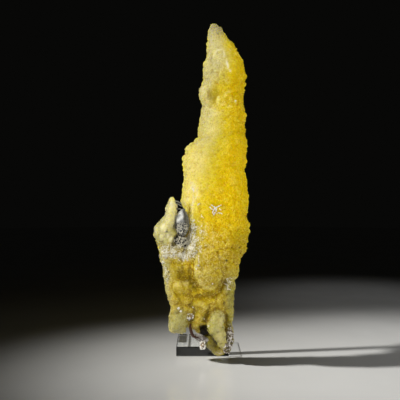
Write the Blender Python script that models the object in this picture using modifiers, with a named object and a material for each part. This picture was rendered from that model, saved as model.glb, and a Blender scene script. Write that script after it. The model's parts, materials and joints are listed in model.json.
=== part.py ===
"""Brucite specimen on its clear display stand.

A tall, flattish, stalactite-like growth of yellow brucite, about 210 mm high.
It hangs in front of a small square acrylic block and leans back on a thin
clear rod that stands in the block, behind the mineral.

Frame: metres, +Z up, +X to the right and +Y to the back of the front view.
The origin is the centre of the block's underside.
"""

import math
import random

import bmesh
import bpy
import numpy as np
from mathutils import Matrix, Vector, noise

# ---------------------------------------------------------------- dimensions
BLOCK_WIDTH = 0.0320
BLOCK_DEPTH = 0.0320
BLOCK_HEIGHT = 0.0058
BLOCK_EDGE = 0.00035
BLOCK_LEFT = -0.0160

ROD_RADIUS = 0.0030
ROD_FOOT = (0.0085, -0.0102, 0.0020)  # where its axis meets the socket's bottom
ROD_LEAN = 12.0  # degrees towards the back
ROD_LENGTH = 0.1040

GAP = 0.0003  # between pieces that touch
SPECIMEN_CLEARANCE = 0.0006  # between the growth and the block's front face

VOXEL = 0.00095
SPECIMEN_TRIANGLES = 9000

CORE_INSET = 0.9  # units between the outline and the smooth core
KNOB_SEED = 11

# The outline sheet: a grid of 1 unit cells seen in one-point view from EYE.
# (200, 200) is straight ahead of the eye. FOCAL is the eye's distance in units.
EYE = Vector((-0.00154, -0.3430, 0.0947))
FOCAL = 540.0
SHEET_CENTRE = 200.0
MM = 0.001


def scale_at(y_mm):
    """Metres per sheet unit in the upright plane y."""
    return (y_mm * MM - EYE.y) / FOCAL


def at(u, v, y_mm):
    """The point of the plane y that lies behind the sheet point (u, v)."""
    k = scale_at(y_mm)
    return Vector(
        (
            EYE.x + (u - SHEET_CENTRE) * k,
            y_mm * MM,
            EYE.z - (v - SHEET_CENTRE) * k,
        )
    )


# ------------------------------------------------------------------- outline
# row, left edge, right edge (sheet units), front and back (mm in y)
MAIN_BODY = [
    (23.8, 211.6, 214.6, 6.6, 9.6),
    (25, 210.2, 218.0, 5.2, 10.8),
    (30, 208.3, 222.5, 3.2, 12.4),
    (35, 207.2, 226.0, 2.2, 13.4),
    (40, 208.8, 229.5, 1.4, 14.2),
    (45, 207.3, 234.5, 0.6, 15.0),
    (50, 207.5, 237.5, 0.0, 15.6),
    (55, 207.8, 240.0, -0.6, 16.2),
    (60, 206.0, 244.0, -1.2, 16.6),
    (65, 204.0, 244.0, -1.8, 17.0),
    (70, 203.0, 245.0, -2.2, 17.2),
    (75, 202.3, 246.0, -2.6, 17.4),
    (79, 204.2, 244.8, -2.8, 17.4),
    (85, 201.5, 245.2, -3.0, 17.4),
    (90, 199.6, 244.0, -3.2, 17.2),
    (95, 199.8, 243.3, -3.2, 17.0),
    (100, 200.8, 243.3, -3.4, 17.0),
    (105, 202.5, 244.0, -4.0, 17.4),
    (110, 200.7, 244.8, -5.2, 18.0),
    (116, 201.2, 247.0, -6.2, 18.4),
    (120, 200.0, 245.8, -6.8, 18.6),
    (125, 200.8, 244.8, -7.6, 18.6),
    (130, 198.9, 246.0, -8.4, 18.6),
    (135, 198.0, 245.0, -9.2, 18.4),
    (139, 199.6, 247.0, -9.8, 18.4),
    (142, 194.5, 247.5, -10.4, 18.4),
    (146, 189.0, 249.0, -11.2, 18.2),
    (150, 186.0, 247.0, -12.0, 18.2),
    (155, 184.6, 246.3, -12.8, 18.0),
    (160, 183.0, 247.0, -13.8, 18.4),
    (165, 182.6, 246.0, -14.6, 18.4),
    (170, 183.6, 245.3, -15.4, 18.4),
    (175, 183.7, 246.5, -16.2, 18.2),
    (180, 183.6, 247.3, -17.2, 18.2),
    (185, 182.8, 247.0, -18.2, 18.0),
    (190, 182.2, 247.5, -19.4, 17.8),
    (195, 181.5, 248.0, -20.6, 17.2),
    (200, 180.3, 248.3, -22.0, 16.2),
    (205, 182.5, 247.8, -23.4, 14.0),
    (210, 186.0, 247.0, -25.0, 11.0),
    (214, 188.0, 244.9, -26.2, 8.0),
    (220, 189.0, 247.0, -27.8, 3.2),
    (225, 189.0, 248.6, -29.2, -1.4),
    (230, 188.6, 249.2, -30.2, -5.4),
    (235, 187.0, 248.4, -31.0, -8.6),
    (240, 184.0, 246.6, -31.4, -10.2),
    (245, 181.0, 246.2, -31.8, -11.6),
    (250, 179.0, 243.6, -32.0, -12.4),
    (255, 178.0, 241.0, -32.0, -12.8),
    (260, 177.0, 240.0, -31.8, -13.2),
    (265, 176.0, 238.6, -31.6, -13.6),
    (270, 175.0, 238.6, -31.2, -14.0),
    (275, 174.0, 235.2, -30.8, -14.4),
    (280, 174.0, 234.6, -30.4, -14.8),
    (285, 174.0, 235.2, -30.0, -15.2),
    (290, 174.0, 235.0, -29.6, -15.6),
    (295, 175.0, 234.0, -29.4, -15.8),
    (300, 176.0, 233.0, -29.2, -16.0),
    (305, 177.0, 233.4, -29.0, -16.2),
    (310, 178.0, 235.2, -28.8, -16.4),
    (315, 180.0, 232.4, -28.6, -16.6),
    (320, 184.0, 231.4, -28.2, -16.8),
    (325, 190.0, 230.8, -27.4, -17.0),
    (329, 196.0, 230.2, -26.6, -17.2),
]

LEFT_MASS = [
    (197.4, 171.2, 173.0, -23.6, -21.0),
    (200, 169.4, 175.0, -25.0, -19.0),
    (205, 167.0, 175.9, -26.9, -17.9),
    (210, 165.4, 176.2, -28.1, -17.5),
    (215, 164.0, 176.4, -29.2, -17.2),
    (220, 160.0, 176.8, -30.0, -16.4),
    (225, 156.4, 177.4, -30.8, -15.6),
    (230, 153.8, 178.6, -31.2, -15.0),
    (235, 154.4, 180.6, -31.4, -14.6),
    (240, 156.6, 182.6, -31.2, -14.4),
    (245, 158.6, 184.0, -30.8, -14.4),
    (250, 160.4, 185.0, -30.4, -14.6),
    (255, 161.0, 186.0, -30.2, -14.8),
    (260, 161.4, 187.0, -30.0, -15.0),
    (265, 162.6, 187.6, -30.0, -15.2),
    (270, 163.0, 188.0, -30.2, -15.4),
    (275, 163.8, 189.0, -30.6, -15.6),
    (280, 165.2, 190.0, -31.2, -15.8),
    (285, 166.0, 190.6, -31.6, -16.0),
    (290, 166.2, 191.0, -31.8, -16.4),
    (295, 168.0, 191.0, -31.8, -16.6),
    (300, 170.2, 190.6, -31.6, -17.0),
    (305, 170.8, 190.2, -31.1, -17.1),
    (310, 169.8, 189.6, -30.7, -17.3),
    (315, 169.6, 189.0, -30.2, -17.4),
    (320, 169.7, 188.4, -30.0, -17.8),
    (325, 169.0, 187.4, -29.6, -18.4),
    (328.0, 169.6, 186.8, -28.6, -19.4),
    (330.2, 170.4, 186.2, -27.8, -20.2),
    (331.2, 172.0, 184.6, -26.4, -21.8),
]

# sheet centre, half width, half height, centre and half depth in mm, lean
LOBES = [
    (204.6, 94.5, 5.0, 9.4, 5.0, 6.6, 0),
    (178.4, 320.4, 8.6, 9.4, -23.6, 6.2, 0),
    # ground under the grey spindle and its crust
    (183, 240, 9.0, 9.0, -19.5, 6.6, 0),
    (181.5, 226, 7.0, 13.0, -15.0, 6.0, 0),
    # body beside the spindle
    (195.8, 223, 8.0, 22.0, -19.4, 5.2, 0),
    # pale bean in front of the tail
    (218.0, 320.6, 6.8, 9.0, -26.0, 5.2, 8),
    (214.6, 328.4, 7.2, 7.6, -27.0, 5.0, 0),
    (218.2, 334.6, 6.0, 9.0, -27.0, 4.6, -14),
    (221.0, 342.0, 4.2, 8.0, -26.8, 4.2, -16),
    # tail
    (208.6, 336.6, 5.0, 4.6, -21.4, 4.0, -34),
    (213.2, 343.6, 6.6, 8.8, -23.6, 4.8, -32),
    (218.4, 349.6, 6.8, 5.8, -25.2, 5.2, -14),
    # ground of the crystals down the right of the tail
    (228.0, 332, 4.2, 7.6, -23.0, 4.6, 0),
    (228.0, 340, 4.4, 7.0, -23.4, 5.0, 0),
    (226.0, 347.6, 4.4, 5.0, -24.4, 4.8, 0),
]

# lumps raised on the front: centre, half sizes, height in mm, lean
LUMPS = [
    (217, 62, 6.5, 24, 0.7, -8),
    (232, 72, 9.0, 22, 0.5, -10),
    (209, 66, 5.0, 14, 0.4, -6),
    (218.5, 98, 3.0, 4.6, 0.8, 8),
    (226, 96, 3.0, 3.6, 0.6, 0),
    (230.5, 99, 3.0, 3.4, 0.6, 0),
    (235.5, 101, 2.6, 3.4, 0.5, 0),
    (219, 113, 12.0, 5.0, 0.3, -6),
    (212, 127, 11.0, 15, 0.6, 10),
    (234, 122, 10.0, 18, 0.5, 0),
    (236, 147, 9.0, 15, 0.7, 0),
    (203, 154, 11.0, 17, 0.6, 14),
    (192, 153, 7.0, 10.0, 0.7, 20),
    (196, 180, 11.0, 18, 0.6, 0),
    (214, 186, 8.0, 12, 0.4, 0),
    (236, 184, 10.0, 20, 0.6, 0),
    (203, 204, 14.0, 15, 0.6, 0),
    (231, 208, 13.0, 20, 0.6, 0),
    (226, 232, 16.0, 22, 0.8, 0),
    (210, 240, 14.0, 24, 1.2, -6),
    (221, 258, 16.0, 24, 1.4, 4),
    (230, 270, 7.0, 15, 1.1, 0),
    # lower left
    (167, 256, 6.6, 11, 0.9, 0),
    (172, 273, 8.0, 9.0, 1.0, 0),
    (169, 291, 5.0, 9.0, 1.2, 0),
    (186.4, 288, 5.6, 6.2, 1.3, 0),
    (187, 300.5, 6.4, 4.4, 1.0, 0),
    (173, 300, 5.0, 7.0, 1.1, 0),
    (178.4, 288.0, 6.2, 6.4, 1.4, 0),
    (176, 311, 6.4, 6.4, 0.9, 0),
    (188, 311, 5.4, 5.2, 0.9, 0),
    (191, 326, 5.0, 7.0, 1.2, 0),
    # lower right
    (196.6, 304, 5.8, 5.6, 1.1, 0),
    (204.6, 309, 6.0, 6.2, 1.3, 0),
    (213, 303, 5.4, 5.6, 1.0, 0),
    (199, 318, 6.6, 6.4, 1.2, 0),
    (208, 318, 3.6, 5.0, 1.2, 0),
    (228, 297, 6.4, 13, 1.4, 0),
    (220, 300, 5.2, 7.0, 1.2, 0),
    (230, 314, 4.4, 8, 1.2, 0),
]

# steeper ones, with a rim that stands clear of the ground
BOSSES = [
    (203.0, 94.6, 6.4, 10.4, 0.9, 0),
    # broad lobe that ends in a rounded lip
    (208.4, 268.5, 14.6, 22.8, 3.0, 0),
    # finger and the left lobes
    (171.0, 215, 5.2, 16.0, 1.2, 10),
    (161.6, 232, 7.8, 9.6, 1.1, 0),
    (169.4, 237, 6.4, 9.6, 1.5, 0),
    (178.6, 321.0, 10.4, 11.0, 1.2, 0),
    # bean
    (217.2, 319.4, 7.2, 9.0, 2.3, 10),
    (215.6, 327.0, 8.2, 7.6, 2.5, 0),
    (219.0, 334.6, 6.2, 8.6, 2.3, -22),
    (222.0, 341.6, 4.0, 8.0, 1.8, -20),
]

# hollows pressed into the front: centre, half sizes, depth in mm, lean
HOLLOWS = [
    (214.0, 94, 5.6, 9.0, 0.9, 8),
    (215, 105.5, 11.0, 2.0, 0.4, -8),
    (218, 168, 5.6, 28, 0.5, -10),
    (185.0, 276, 8.0, 6.4, 1.2, 0),
    (191.6, 279, 4.6, 12.0, 1.7, -20),
    (207, 297, 13.0, 3.6, 1.7, -2),
    (222.4, 287, 3.6, 8.0, 1.3, 30),
    (182, 241, 7.4, 7.0, 1.4, 0),
    (181.5, 221, 5.6, 13.0, 1.1, 0),
    (173.4, 243, 2.4, 5.0, 1.0, 20),
    (206.6, 316, 2.6, 9.0, 1.4, 14),
    (227.2, 327, 2.2, 12.0, 1.2, 4),
    (192, 319, 3.0, 8.0, 0.9, 10),
    (203.6, 330.8, 5.4, 4.4, 2.8, -20),
]


def new_object(name, mesh, collection):
    made = bpy.data.objects.new(name, mesh)
    collection.objects.link(made)
    return made


def material(name, colour, roughness, metallic=0.0, transmission=0.0, ior=1.5):
    made = bpy.data.materials.new(name)
    made.use_nodes = True
    shader = made.node_tree.nodes["Principled BSDF"]
    shader.inputs["Base Color"].default_value = (*colour, 1.0)
    shader.inputs["Roughness"].default_value = roughness
    shader.inputs["Metallic"].default_value = metallic
    shader.inputs["Transmission Weight"].default_value = transmission
    shader.inputs["IOR"].default_value = ior
    return made


def section_ring(row, left, right, front_mm, back_mm, count=40, power=0.86):
    """One level ring of a growth: a rounded oval that touches the outline."""
    middle = 0.5 * (front_mm + back_mm)
    a, b = at(left, row, middle), at(right, row, middle)
    centre_x, half_x = 0.5 * (a.x + b.x), 0.5 * (b.x - a.x)
    half_y = 0.5 * (back_mm - front_mm) * MM
    ring = []
    for i in range(count):
        turn = 2 * math.pi * i / count
        c, s = math.cos(turn), math.sin(turn)
        ring.append(
            (
                centre_x + half_x * math.copysign(abs(c) ** power, c),
                middle * MM + half_y * math.copysign(abs(s) ** power, s),
                a.z,
            )
        )
    return ring


def evened(values, passes=2):
    """The same run of values with its ripples taken out and its ends kept."""
    for _ in range(passes):
        values = (
            values[:1]
            + [
                0.25 * a + 0.5 * b + 0.25 * c
                for a, b, c in zip(values, values[1:], values[2:])
            ]
            + values[-1:]
        )
    return values


def core_stations(stations):
    """The core inside an outline: half-evened edges, drawn in a little."""
    rows, left, right, front, back = map(list, zip(*stations))
    even_left, even_right = evened(left), evened(right)
    core = []
    for i, row in enumerate(rows):
        a = 0.5 * (left[i] + even_left[i])
        b = 0.5 * (right[i] + even_right[i])
        f, g = front[i], back[i]
        inset = min(CORE_INSET, 0.2 * (b - a))
        depth = min(0.8, 0.2 * (g - f))
        core.append((row, a + inset, b - inset, f + depth, g - depth))
    return core


def add_loft(bm, stations):
    """A closed skin through the rings of a station table."""
    rings = [[bm.verts.new(p) for p in section_ring(*row)] for row in stations]
    for upper, lower in zip(rings, rings[1:]):
        for i in range(len(upper)):
            j = (i + 1) % len(upper)
            bm.faces.new((upper[i], lower[i], lower[j], upper[j]))
    for ring in (rings[0], rings[-1]):
        centre = sum((p.co for p in ring), Vector()) / len(ring)
        hub = bm.verts.new(centre)
        for i in range(len(ring)):
            j = (i + 1) % len(ring)
            if ring is rings[0]:
                bm.faces.new((ring[i], ring[j], hub))
            else:
                bm.faces.new((ring[j], ring[i], hub))


class Cluster:
    """Balls that share two meshes, fine and coarse, until they are joined."""

    def __init__(self, collection):
        self.collection = collection
        self.pieces = []
        self.fine = self.ball("lobe_ball", 4)
        self.coarse = self.ball("knob_ball", 3)

    @staticmethod
    def ball(name, subdivisions):
        bm = bmesh.new()
        bmesh.ops.create_icosphere(bm, subdivisions=subdivisions, radius=1.0)
        mesh = bpy.data.meshes.new(name)
        bm.to_mesh(mesh)
        bm.free()
        return mesh

    def lobe(self, u, v, half_u, half_v, y_mm, half_y_mm, lean):
        k = scale_at(y_mm)
        mesh = self.fine if half_v > 7 else self.coarse
        piece = new_object("lobe", mesh, self.collection)
        piece.matrix_world = (
            Matrix.Translation(at(u, v, y_mm))
            @ Matrix.Rotation(math.radians(lean), 4, "Y")
            @ Matrix.Diagonal((half_u * k, half_y_mm * MM, half_v * k, 1.0))
        )
        self.pieces.append(piece)

    def joined_to(self, core):
        override = {
            "active_object": core,
            "object": core,
            "selected_objects": [core, *self.pieces],
            "selected_editable_objects": [core, *self.pieces],
        }
        bpy.context.view_layer.update()
        with bpy.context.temp_override(**override):
            bpy.ops.object.join()
        return core


def add_edge_knobs(cluster, stations, chance):
    """Rounded knobs down both edges, each one touching the outline."""
    for row, left, right, front, back in stations[2:]:
        middle, thick = 0.5 * (front + back), back - front
        half = min(3.8, 0.26 * (right - left))
        for side, edge in ((1, left), (-1, right)):
            if chance.random() < 0.25:
                continue
            size = half * chance.uniform(0.7, 1.1)
            v = row + chance.uniform(-1.6, 1.6)
            y = middle + thick * chance.uniform(-0.22, 0.22)
            deep = size * chance.uniform(0.9, 1.6) * scale_at(y) / MM
            cluster.lobe(edge + side * size * 1.02, v, size, size, y, deep, 0)


def add_surface_knobs(cluster, stations, chance):
    """Low rounded knobs spread over the front and back of a core."""
    core = core_stations(stations)
    for (row, left, right, front, back), (nxt, *_) in zip(core[2:], core[3:]):
        width = right - left
        for around in range(max(6, int(width / 2.6))):
            turn = 2 * math.pi * chance.random()
            v = chance.uniform(row, nxt)
            size = chance.uniform(2.8, 5.4) * min(1.0, width / 26)
            proud = chance.uniform(0.2, 0.9)
            c = math.copysign(abs(math.cos(turn)) ** 0.86, math.cos(turn))
            s = math.copysign(abs(math.sin(turn)) ** 0.86, math.sin(turn))
            half_u = 0.5 * width - size + proud
            k = scale_at(front)
            half_y = 0.5 * (back - front) - (size - proud) * k / MM
            if half_u < 1 or half_y < 0.4:
                continue
            u = 0.5 * (left + right) + half_u * c
            y = 0.5 * (front + back) + half_y * s
            tall = size * chance.uniform(0.8, 1.3)
            cluster.lobe(u, v, size, tall, y, size * k / MM, 0)


def smooth(a, b, x):
    t = np.clip((x - a) / (b - a), 0.0, 1.0)
    return t * t * (3 - 2 * t)


def blob(u, v, cu, cv, ru, rv, lean=0.0, soft=0.5):
    """1 inside an ellipse on the sheet, fading to 0 over its outer part."""
    a = math.radians(lean)
    du, dv = u - cu, v - cv
    x = du * math.cos(a) + dv * math.sin(a)
    y = -du * math.sin(a) + dv * math.cos(a)
    return 1 - smooth(1 - soft, 1 + soft, np.sqrt((x / ru) ** 2 + (y / rv) ** 2))


def round_top(u, v, cu, cv, ru, rv, lean=0.0, steep=0.5):
    """A lump's rounded top: 1 at its centre, falling to 0 at its rim."""
    a = math.radians(lean)
    du, dv = u - cu, v - cv
    x = du * math.cos(a) + dv * math.sin(a)
    y = -du * math.sin(a) + dv * math.cos(a)
    return np.clip(1 - (x / ru) ** 2 - (y / rv) ** 2, 0, 1) ** steep


def turbulence(points, size, octaves=3, seed=0.0):
    out = np.empty(len(points))
    shift = Vector((seed * 7.31, seed * 3.17, seed * 5.71))
    for i, p in enumerate(points / size):
        out[i] = noise.fractal(Vector(p) + shift, 0.9, 2.1, octaves)
    return out


def cells(points, size, seed=0.0):
    """Distance to the nearest and second nearest cell centre, in cells."""
    first, second = np.empty(len(points)), np.empty(len(points))
    shift = Vector((seed * 1.37, seed * 9.11, seed * 4.03))
    for i, p in enumerate(points / size):
        d, _ = noise.voronoi(Vector(p) + shift)
        first[i], second[i] = d[0], d[1]
    return first, second


def coords(mesh):
    out = np.empty(len(mesh.vertices) * 3)
    mesh.vertices.foreach_get("co", out)
    return out.reshape(-1, 3)


def normals(mesh):
    out = np.empty(len(mesh.vertices) * 3)
    mesh.vertices.foreach_get("normal", out)
    return out.reshape(-1, 3)


def sheet_of(points):
    k = (points[:, 1] - EYE.y) / FOCAL
    return (
        SHEET_CENTRE + (points[:, 0] - EYE.x) / k,
        SHEET_CENTRE - (points[:, 2] - EYE.z) / k,
    )


def add_relief(mesh):
    """Lumps and hollows of the front, lumps of the back, a slow waviness."""
    p, n = coords(mesh), normals(mesh)
    u, v = sheet_of(p)
    front = smooth(0.25, -0.35, n[:, 1])
    wander = turbulence(p, 0.011, 3, 1)
    fine = turbulence(p, 0.0034, 3, 2)
    drift = turbulence(p, 0.019, 2, 4)
    uw, vw = u + 1.4 * fine + 1.0 * wander, v + 1.4 * wander - 1.0 * fine
    raised = np.zeros(len(p))
    for table, steep, bend in ((LUMPS, 0.9, 1.0), (BOSSES, 0.5, 0.45)):
        at_u, at_v = u + bend * (uw - u), v + bend * (vw - v)
        for bu, bv, ru, rv, amount, lean in table:
            top = round_top(at_u, at_v, bu, bv, ru, rv, lean, steep)
            raised = np.maximum(raised, amount * top)
    pressed = np.zeros(len(p))
    for bu, bv, ru, rv, amount, lean in HOLLOWS:
        pressed = np.maximum(pressed, amount * blob(uw, vw, bu, bv, ru, rv, lean, 0.7))
    behind, _ = cells(p + 0.0022 * drift[:, None], 0.0125, 21)
    back_lumps = np.sqrt(np.clip(1 - (behind / 0.8) ** 2, 0, 1)) * (1 - front)
    press = front * (raised - pressed) + 1.3 * (back_lumps - 0.4) + 0.4 * drift
    press *= 1 - 0.8 * smooth(0.25, 0.8, -n[:, 2])  # broken off flat below
    mesh.vertices.foreach_set("co", (p + n * MM * press[:, None]).ravel())
    mesh.update()


def box_object(name, low, high, collection):
    bm = bmesh.new()
    size = Vector(high) - Vector(low)
    middle = (Vector(high) + Vector(low)) / 2
    place = Matrix.Translation(middle) @ Matrix.Diagonal((*size, 1.0))
    bmesh.ops.create_cube(bm, size=1.0, matrix=place)
    mesh = bpy.data.meshes.new(name)
    bm.to_mesh(mesh)
    bm.free()
    return new_object(name, mesh, collection)


def rod_object(name, radius, start, end, sides, collection):
    """A round bar on the rod's leaning axis, from one distance to another."""
    bm = bmesh.new()
    bmesh.ops.create_cone(
        bm,
        cap_ends=True,
        segments=sides,
        radius1=radius,
        radius2=radius,
        depth=end - start,
        matrix=Matrix.Translation(ROD_FOOT)
        @ Matrix.Rotation(math.radians(-ROD_LEAN), 4, "X")
        @ Matrix.Translation((0, 0, 0.5 * (start + end))),
    )
    mesh = bpy.data.meshes.new(name)
    bm.to_mesh(mesh)
    bm.free()
    return new_object(name, mesh, collection)


def cut(target, cutter, name):
    cutter.hide_render = True
    cutter.display_type = "WIRE"
    step = target.modifiers.new(name, "BOOLEAN")
    step.operation = "DIFFERENCE"
    step.solver = "EXACT"
    step.object = cutter


def build_specimen(collection, cutters):
    bm = bmesh.new()
    for stations in (MAIN_BODY, LEFT_MASS):
        add_loft(bm, core_stations(stations))
    bmesh.ops.recalc_face_normals(bm, faces=bm.faces)
    raw = bpy.data.meshes.new("growth_core")
    bm.to_mesh(raw)
    bm.free()
    growth = new_object("growth_form", raw, cutters)

    cluster = Cluster(cutters)
    chance = random.Random(KNOB_SEED)
    for stations in (MAIN_BODY, LEFT_MASS):
        add_edge_knobs(cluster, stations, chance)
        add_surface_knobs(cluster, stations, chance)
    for lobe in LOBES:
        cluster.lobe(*lobe)
    cluster.joined_to(growth)
    remesh = growth.modifiers.new("grown_together", "REMESH")
    remesh.mode = "VOXEL"
    remesh.voxel_size = VOXEL
    soften = growth.modifiers.new("soften", "SMOOTH")
    soften.factor = 0.5
    soften.iterations = 6
    bpy.context.view_layer.update()
    graph = bpy.context.evaluated_depsgraph_get()
    grown = bpy.data.meshes.new_from_object(growth.evaluated_get(graph))
    bpy.data.objects.remove(growth)

    add_relief(grown)
    grown.name = "brucite_specimen"
    specimen = new_object("brucite_specimen", grown, collection)
    grown.calc_loop_triangles()
    fewer = specimen.modifiers.new("facets", "DECIMATE")
    fewer.ratio = SPECIMEN_TRIANGLES / len(grown.loop_triangles)
    fewer.use_collapse_triangulate = True

    front_of_block = box_object(
        "block_clearance",
        (BLOCK_LEFT - 0.02, -BLOCK_DEPTH / 2 - SPECIMEN_CLEARANCE, -0.01),
        (BLOCK_LEFT + BLOCK_WIDTH + 0.02, BLOCK_DEPTH, BLOCK_HEIGHT + 0.0012),
        cutters,
    )
    cut(specimen, front_of_block, "clear_of_block")
    socket = rod_object(
        "rod_clearance", ROD_RADIUS + GAP, 0.0, ROD_LENGTH + GAP, 24, cutters
    )
    cut(specimen, socket, "rod_hollow")
    return specimen


def build_block(collection, cutters):
    block = box_object(
        "acrylic_base",
        (BLOCK_LEFT, -BLOCK_DEPTH / 2, 0.0),
        (BLOCK_LEFT + BLOCK_WIDTH, BLOCK_DEPTH / 2, BLOCK_HEIGHT),
        collection,
    )
    edges = block.modifiers.new("polished_edges", "BEVEL")
    edges.width = BLOCK_EDGE
    edges.segments = 2
    edges.limit_method = "ANGLE"
    hole = rod_object(
        "rod_hole", ROD_RADIUS + GAP, 0.0, 0.02, 24, cutters
    )
    cut(block, hole, "rod_socket")
    return block


def build_rod(collection):
    rod = rod_object(
        "support_rod", ROD_RADIUS, GAP, ROD_LENGTH, 24, collection
    )
    edges = rod.modifiers.new("eased_ends", "BEVEL")
    edges.width = 0.0002
    edges.segments = 1
    edges.limit_method = "ANGLE"
    edges.angle_limit = math.radians(40)
    return rod


def main():
    for leftover in list(bpy.data.objects):
        bpy.data.objects.remove(leftover)
    scene = bpy.context.scene
    scene.unit_settings.scale_length = 1.0
    parts = bpy.data.collections.new("brucite_specimen_on_stand")
    cutters = bpy.data.collections.new("cutters")
    scene.collection.children.link(parts)
    scene.collection.children.link(cutters)

    specimen = build_specimen(parts, cutters)
    block = build_block(parts, cutters)
    rod = build_rod(parts)

    specimen.data.materials.append(material("brucite", (0.80, 0.62, 0.08), 0.42))
    clear = material("clear_acrylic", (0.96, 0.97, 0.97), 0.03, 0.0, 1.0, 1.49)
    block.data.materials.append(clear)
    rod_clear = material("clear_acrylic_rod", (0.96, 0.97, 0.97), 0.04, 0.0, 1.0, 1.49)
    rod.data.materials.append(rod_clear)
    for piece in (specimen, rod):
        piece.data.shade_smooth()
        piece.data.set_sharp_from_angle(angle=math.radians(50))


main()
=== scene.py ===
"""Looks of the brucite specimen on its clear stand.

The growth is grown together from the same outline and lobes as the solid
model, at a finer grain, and then gets its botryoidal skin, crust and pits.
"""

import json
import math
import random

import bmesh
import bpy
import numpy as np
from mathutils import Matrix, Vector, noise
from mathutils.bvhtree import BVHTree

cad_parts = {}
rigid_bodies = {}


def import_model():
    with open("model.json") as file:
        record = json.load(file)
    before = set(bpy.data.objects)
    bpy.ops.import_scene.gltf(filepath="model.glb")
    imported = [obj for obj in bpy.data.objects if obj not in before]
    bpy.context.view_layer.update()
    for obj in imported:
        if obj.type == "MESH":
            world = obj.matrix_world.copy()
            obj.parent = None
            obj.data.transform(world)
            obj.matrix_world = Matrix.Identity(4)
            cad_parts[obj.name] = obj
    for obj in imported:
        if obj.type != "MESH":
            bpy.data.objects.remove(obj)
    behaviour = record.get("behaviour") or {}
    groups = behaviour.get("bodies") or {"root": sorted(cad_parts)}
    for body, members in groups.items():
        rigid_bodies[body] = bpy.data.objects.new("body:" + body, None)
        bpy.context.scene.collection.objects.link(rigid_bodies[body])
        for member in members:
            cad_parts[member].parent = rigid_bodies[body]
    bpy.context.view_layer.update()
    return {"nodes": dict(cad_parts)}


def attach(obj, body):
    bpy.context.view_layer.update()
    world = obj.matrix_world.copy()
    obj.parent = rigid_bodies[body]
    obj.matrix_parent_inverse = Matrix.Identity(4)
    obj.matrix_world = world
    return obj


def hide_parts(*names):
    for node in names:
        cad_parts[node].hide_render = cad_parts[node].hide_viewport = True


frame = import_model()
scene = bpy.context.scene

# ------------------------------------------------------------------ the sheet
EYE = Vector((-0.00154, -0.3430, 0.0947))
FOCAL = 540.0
MM = 0.001
CORE_INSET = 0.9
KNOB_SEED = 11
VOXEL = 0.00057

BLOCK_FRONT = -0.0160


def scale_at(y_mm):
    return (y_mm * MM - EYE.y) / FOCAL


def at(u, v, y_mm):
    k = scale_at(y_mm)
    return Vector((EYE.x + (u - 200.0) * k, y_mm * MM, EYE.z - (v - 200.0) * k))


# row, left edge, right edge (sheet units), front and back (mm in y)
MAIN_BODY = [
    (23.8, 211.6, 214.6, 6.6, 9.6),
    (25, 210.2, 218.0, 5.2, 10.8),
    (30, 208.3, 222.5, 3.2, 12.4),
    (35, 207.2, 226.0, 2.2, 13.4),
    (40, 208.8, 229.5, 1.4, 14.2),
    (45, 207.3, 234.5, 0.6, 15.0),
    (50, 207.5, 237.5, 0.0, 15.6),
    (55, 207.8, 240.0, -0.6, 16.2),
    (60, 206.0, 244.0, -1.2, 16.6),
    (65, 204.0, 244.0, -1.8, 17.0),
    (70, 203.0, 245.0, -2.2, 17.2),
    (75, 202.3, 246.0, -2.6, 17.4),
    (79, 204.2, 244.8, -2.8, 17.4),
    (85, 201.5, 245.2, -3.0, 17.4),
    (90, 199.6, 244.0, -3.2, 17.2),
    (95, 199.8, 243.3, -3.2, 17.0),
    (100, 200.8, 243.3, -3.4, 17.0),
    (105, 202.5, 244.0, -4.0, 17.4),
    (110, 200.7, 244.8, -5.2, 18.0),
    (116, 201.2, 247.0, -6.2, 18.4),
    (120, 200.0, 245.8, -6.8, 18.6),
    (125, 200.8, 244.8, -7.6, 18.6),
    (130, 198.9, 246.0, -8.4, 18.6),
    (135, 198.0, 245.0, -9.2, 18.4),
    (139, 199.6, 247.0, -9.8, 18.4),
    (142, 194.5, 247.5, -10.4, 18.4),
    (146, 189.0, 249.0, -11.2, 18.2),
    (150, 186.0, 247.0, -12.0, 18.2),
    (155, 184.6, 246.3, -12.8, 18.0),
    (160, 183.0, 247.0, -13.8, 18.4),
    (165, 182.6, 246.0, -14.6, 18.4),
    (170, 183.6, 245.3, -15.4, 18.4),
    (175, 183.7, 246.5, -16.2, 18.2),
    (180, 183.6, 247.3, -17.2, 18.2),
    (185, 182.8, 247.0, -18.2, 18.0),
    (190, 182.2, 247.5, -19.4, 17.8),
    (195, 181.5, 248.0, -20.6, 17.2),
    (200, 180.3, 248.3, -22.0, 16.2),
    (205, 182.5, 247.8, -23.4, 14.0),
    (210, 186.0, 247.0, -25.0, 11.0),
    (214, 188.0, 244.9, -26.2, 8.0),
    (220, 189.0, 247.0, -27.8, 3.2),
    (225, 189.0, 248.6, -29.2, -1.4),
    (230, 188.6, 249.2, -30.2, -5.4),
    (235, 187.0, 248.4, -31.0, -8.6),
    (240, 184.0, 246.6, -31.4, -10.2),
    (245, 181.0, 246.2, -31.8, -11.6),
    (250, 179.0, 243.6, -32.0, -12.4),
    (255, 178.0, 241.0, -32.0, -12.8),
    (260, 177.0, 240.0, -31.8, -13.2),
    (265, 176.0, 238.6, -31.6, -13.6),
    (270, 175.0, 238.6, -31.2, -14.0),
    (275, 174.0, 235.2, -30.8, -14.4),
    (280, 174.0, 234.6, -30.4, -14.8),
    (285, 174.0, 235.2, -30.0, -15.2),
    (290, 174.0, 235.0, -29.6, -15.6),
    (295, 175.0, 234.0, -29.4, -15.8),
    (300, 176.0, 233.0, -29.2, -16.0),
    (305, 177.0, 233.4, -29.0, -16.2),
    (310, 178.0, 235.2, -28.8, -16.4),
    (315, 180.0, 232.4, -28.6, -16.6),
    (320, 184.0, 231.4, -28.2, -16.8),
    (325, 190.0, 230.8, -27.4, -17.0),
    (329, 196.0, 230.2, -26.6, -17.2),
]

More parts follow.
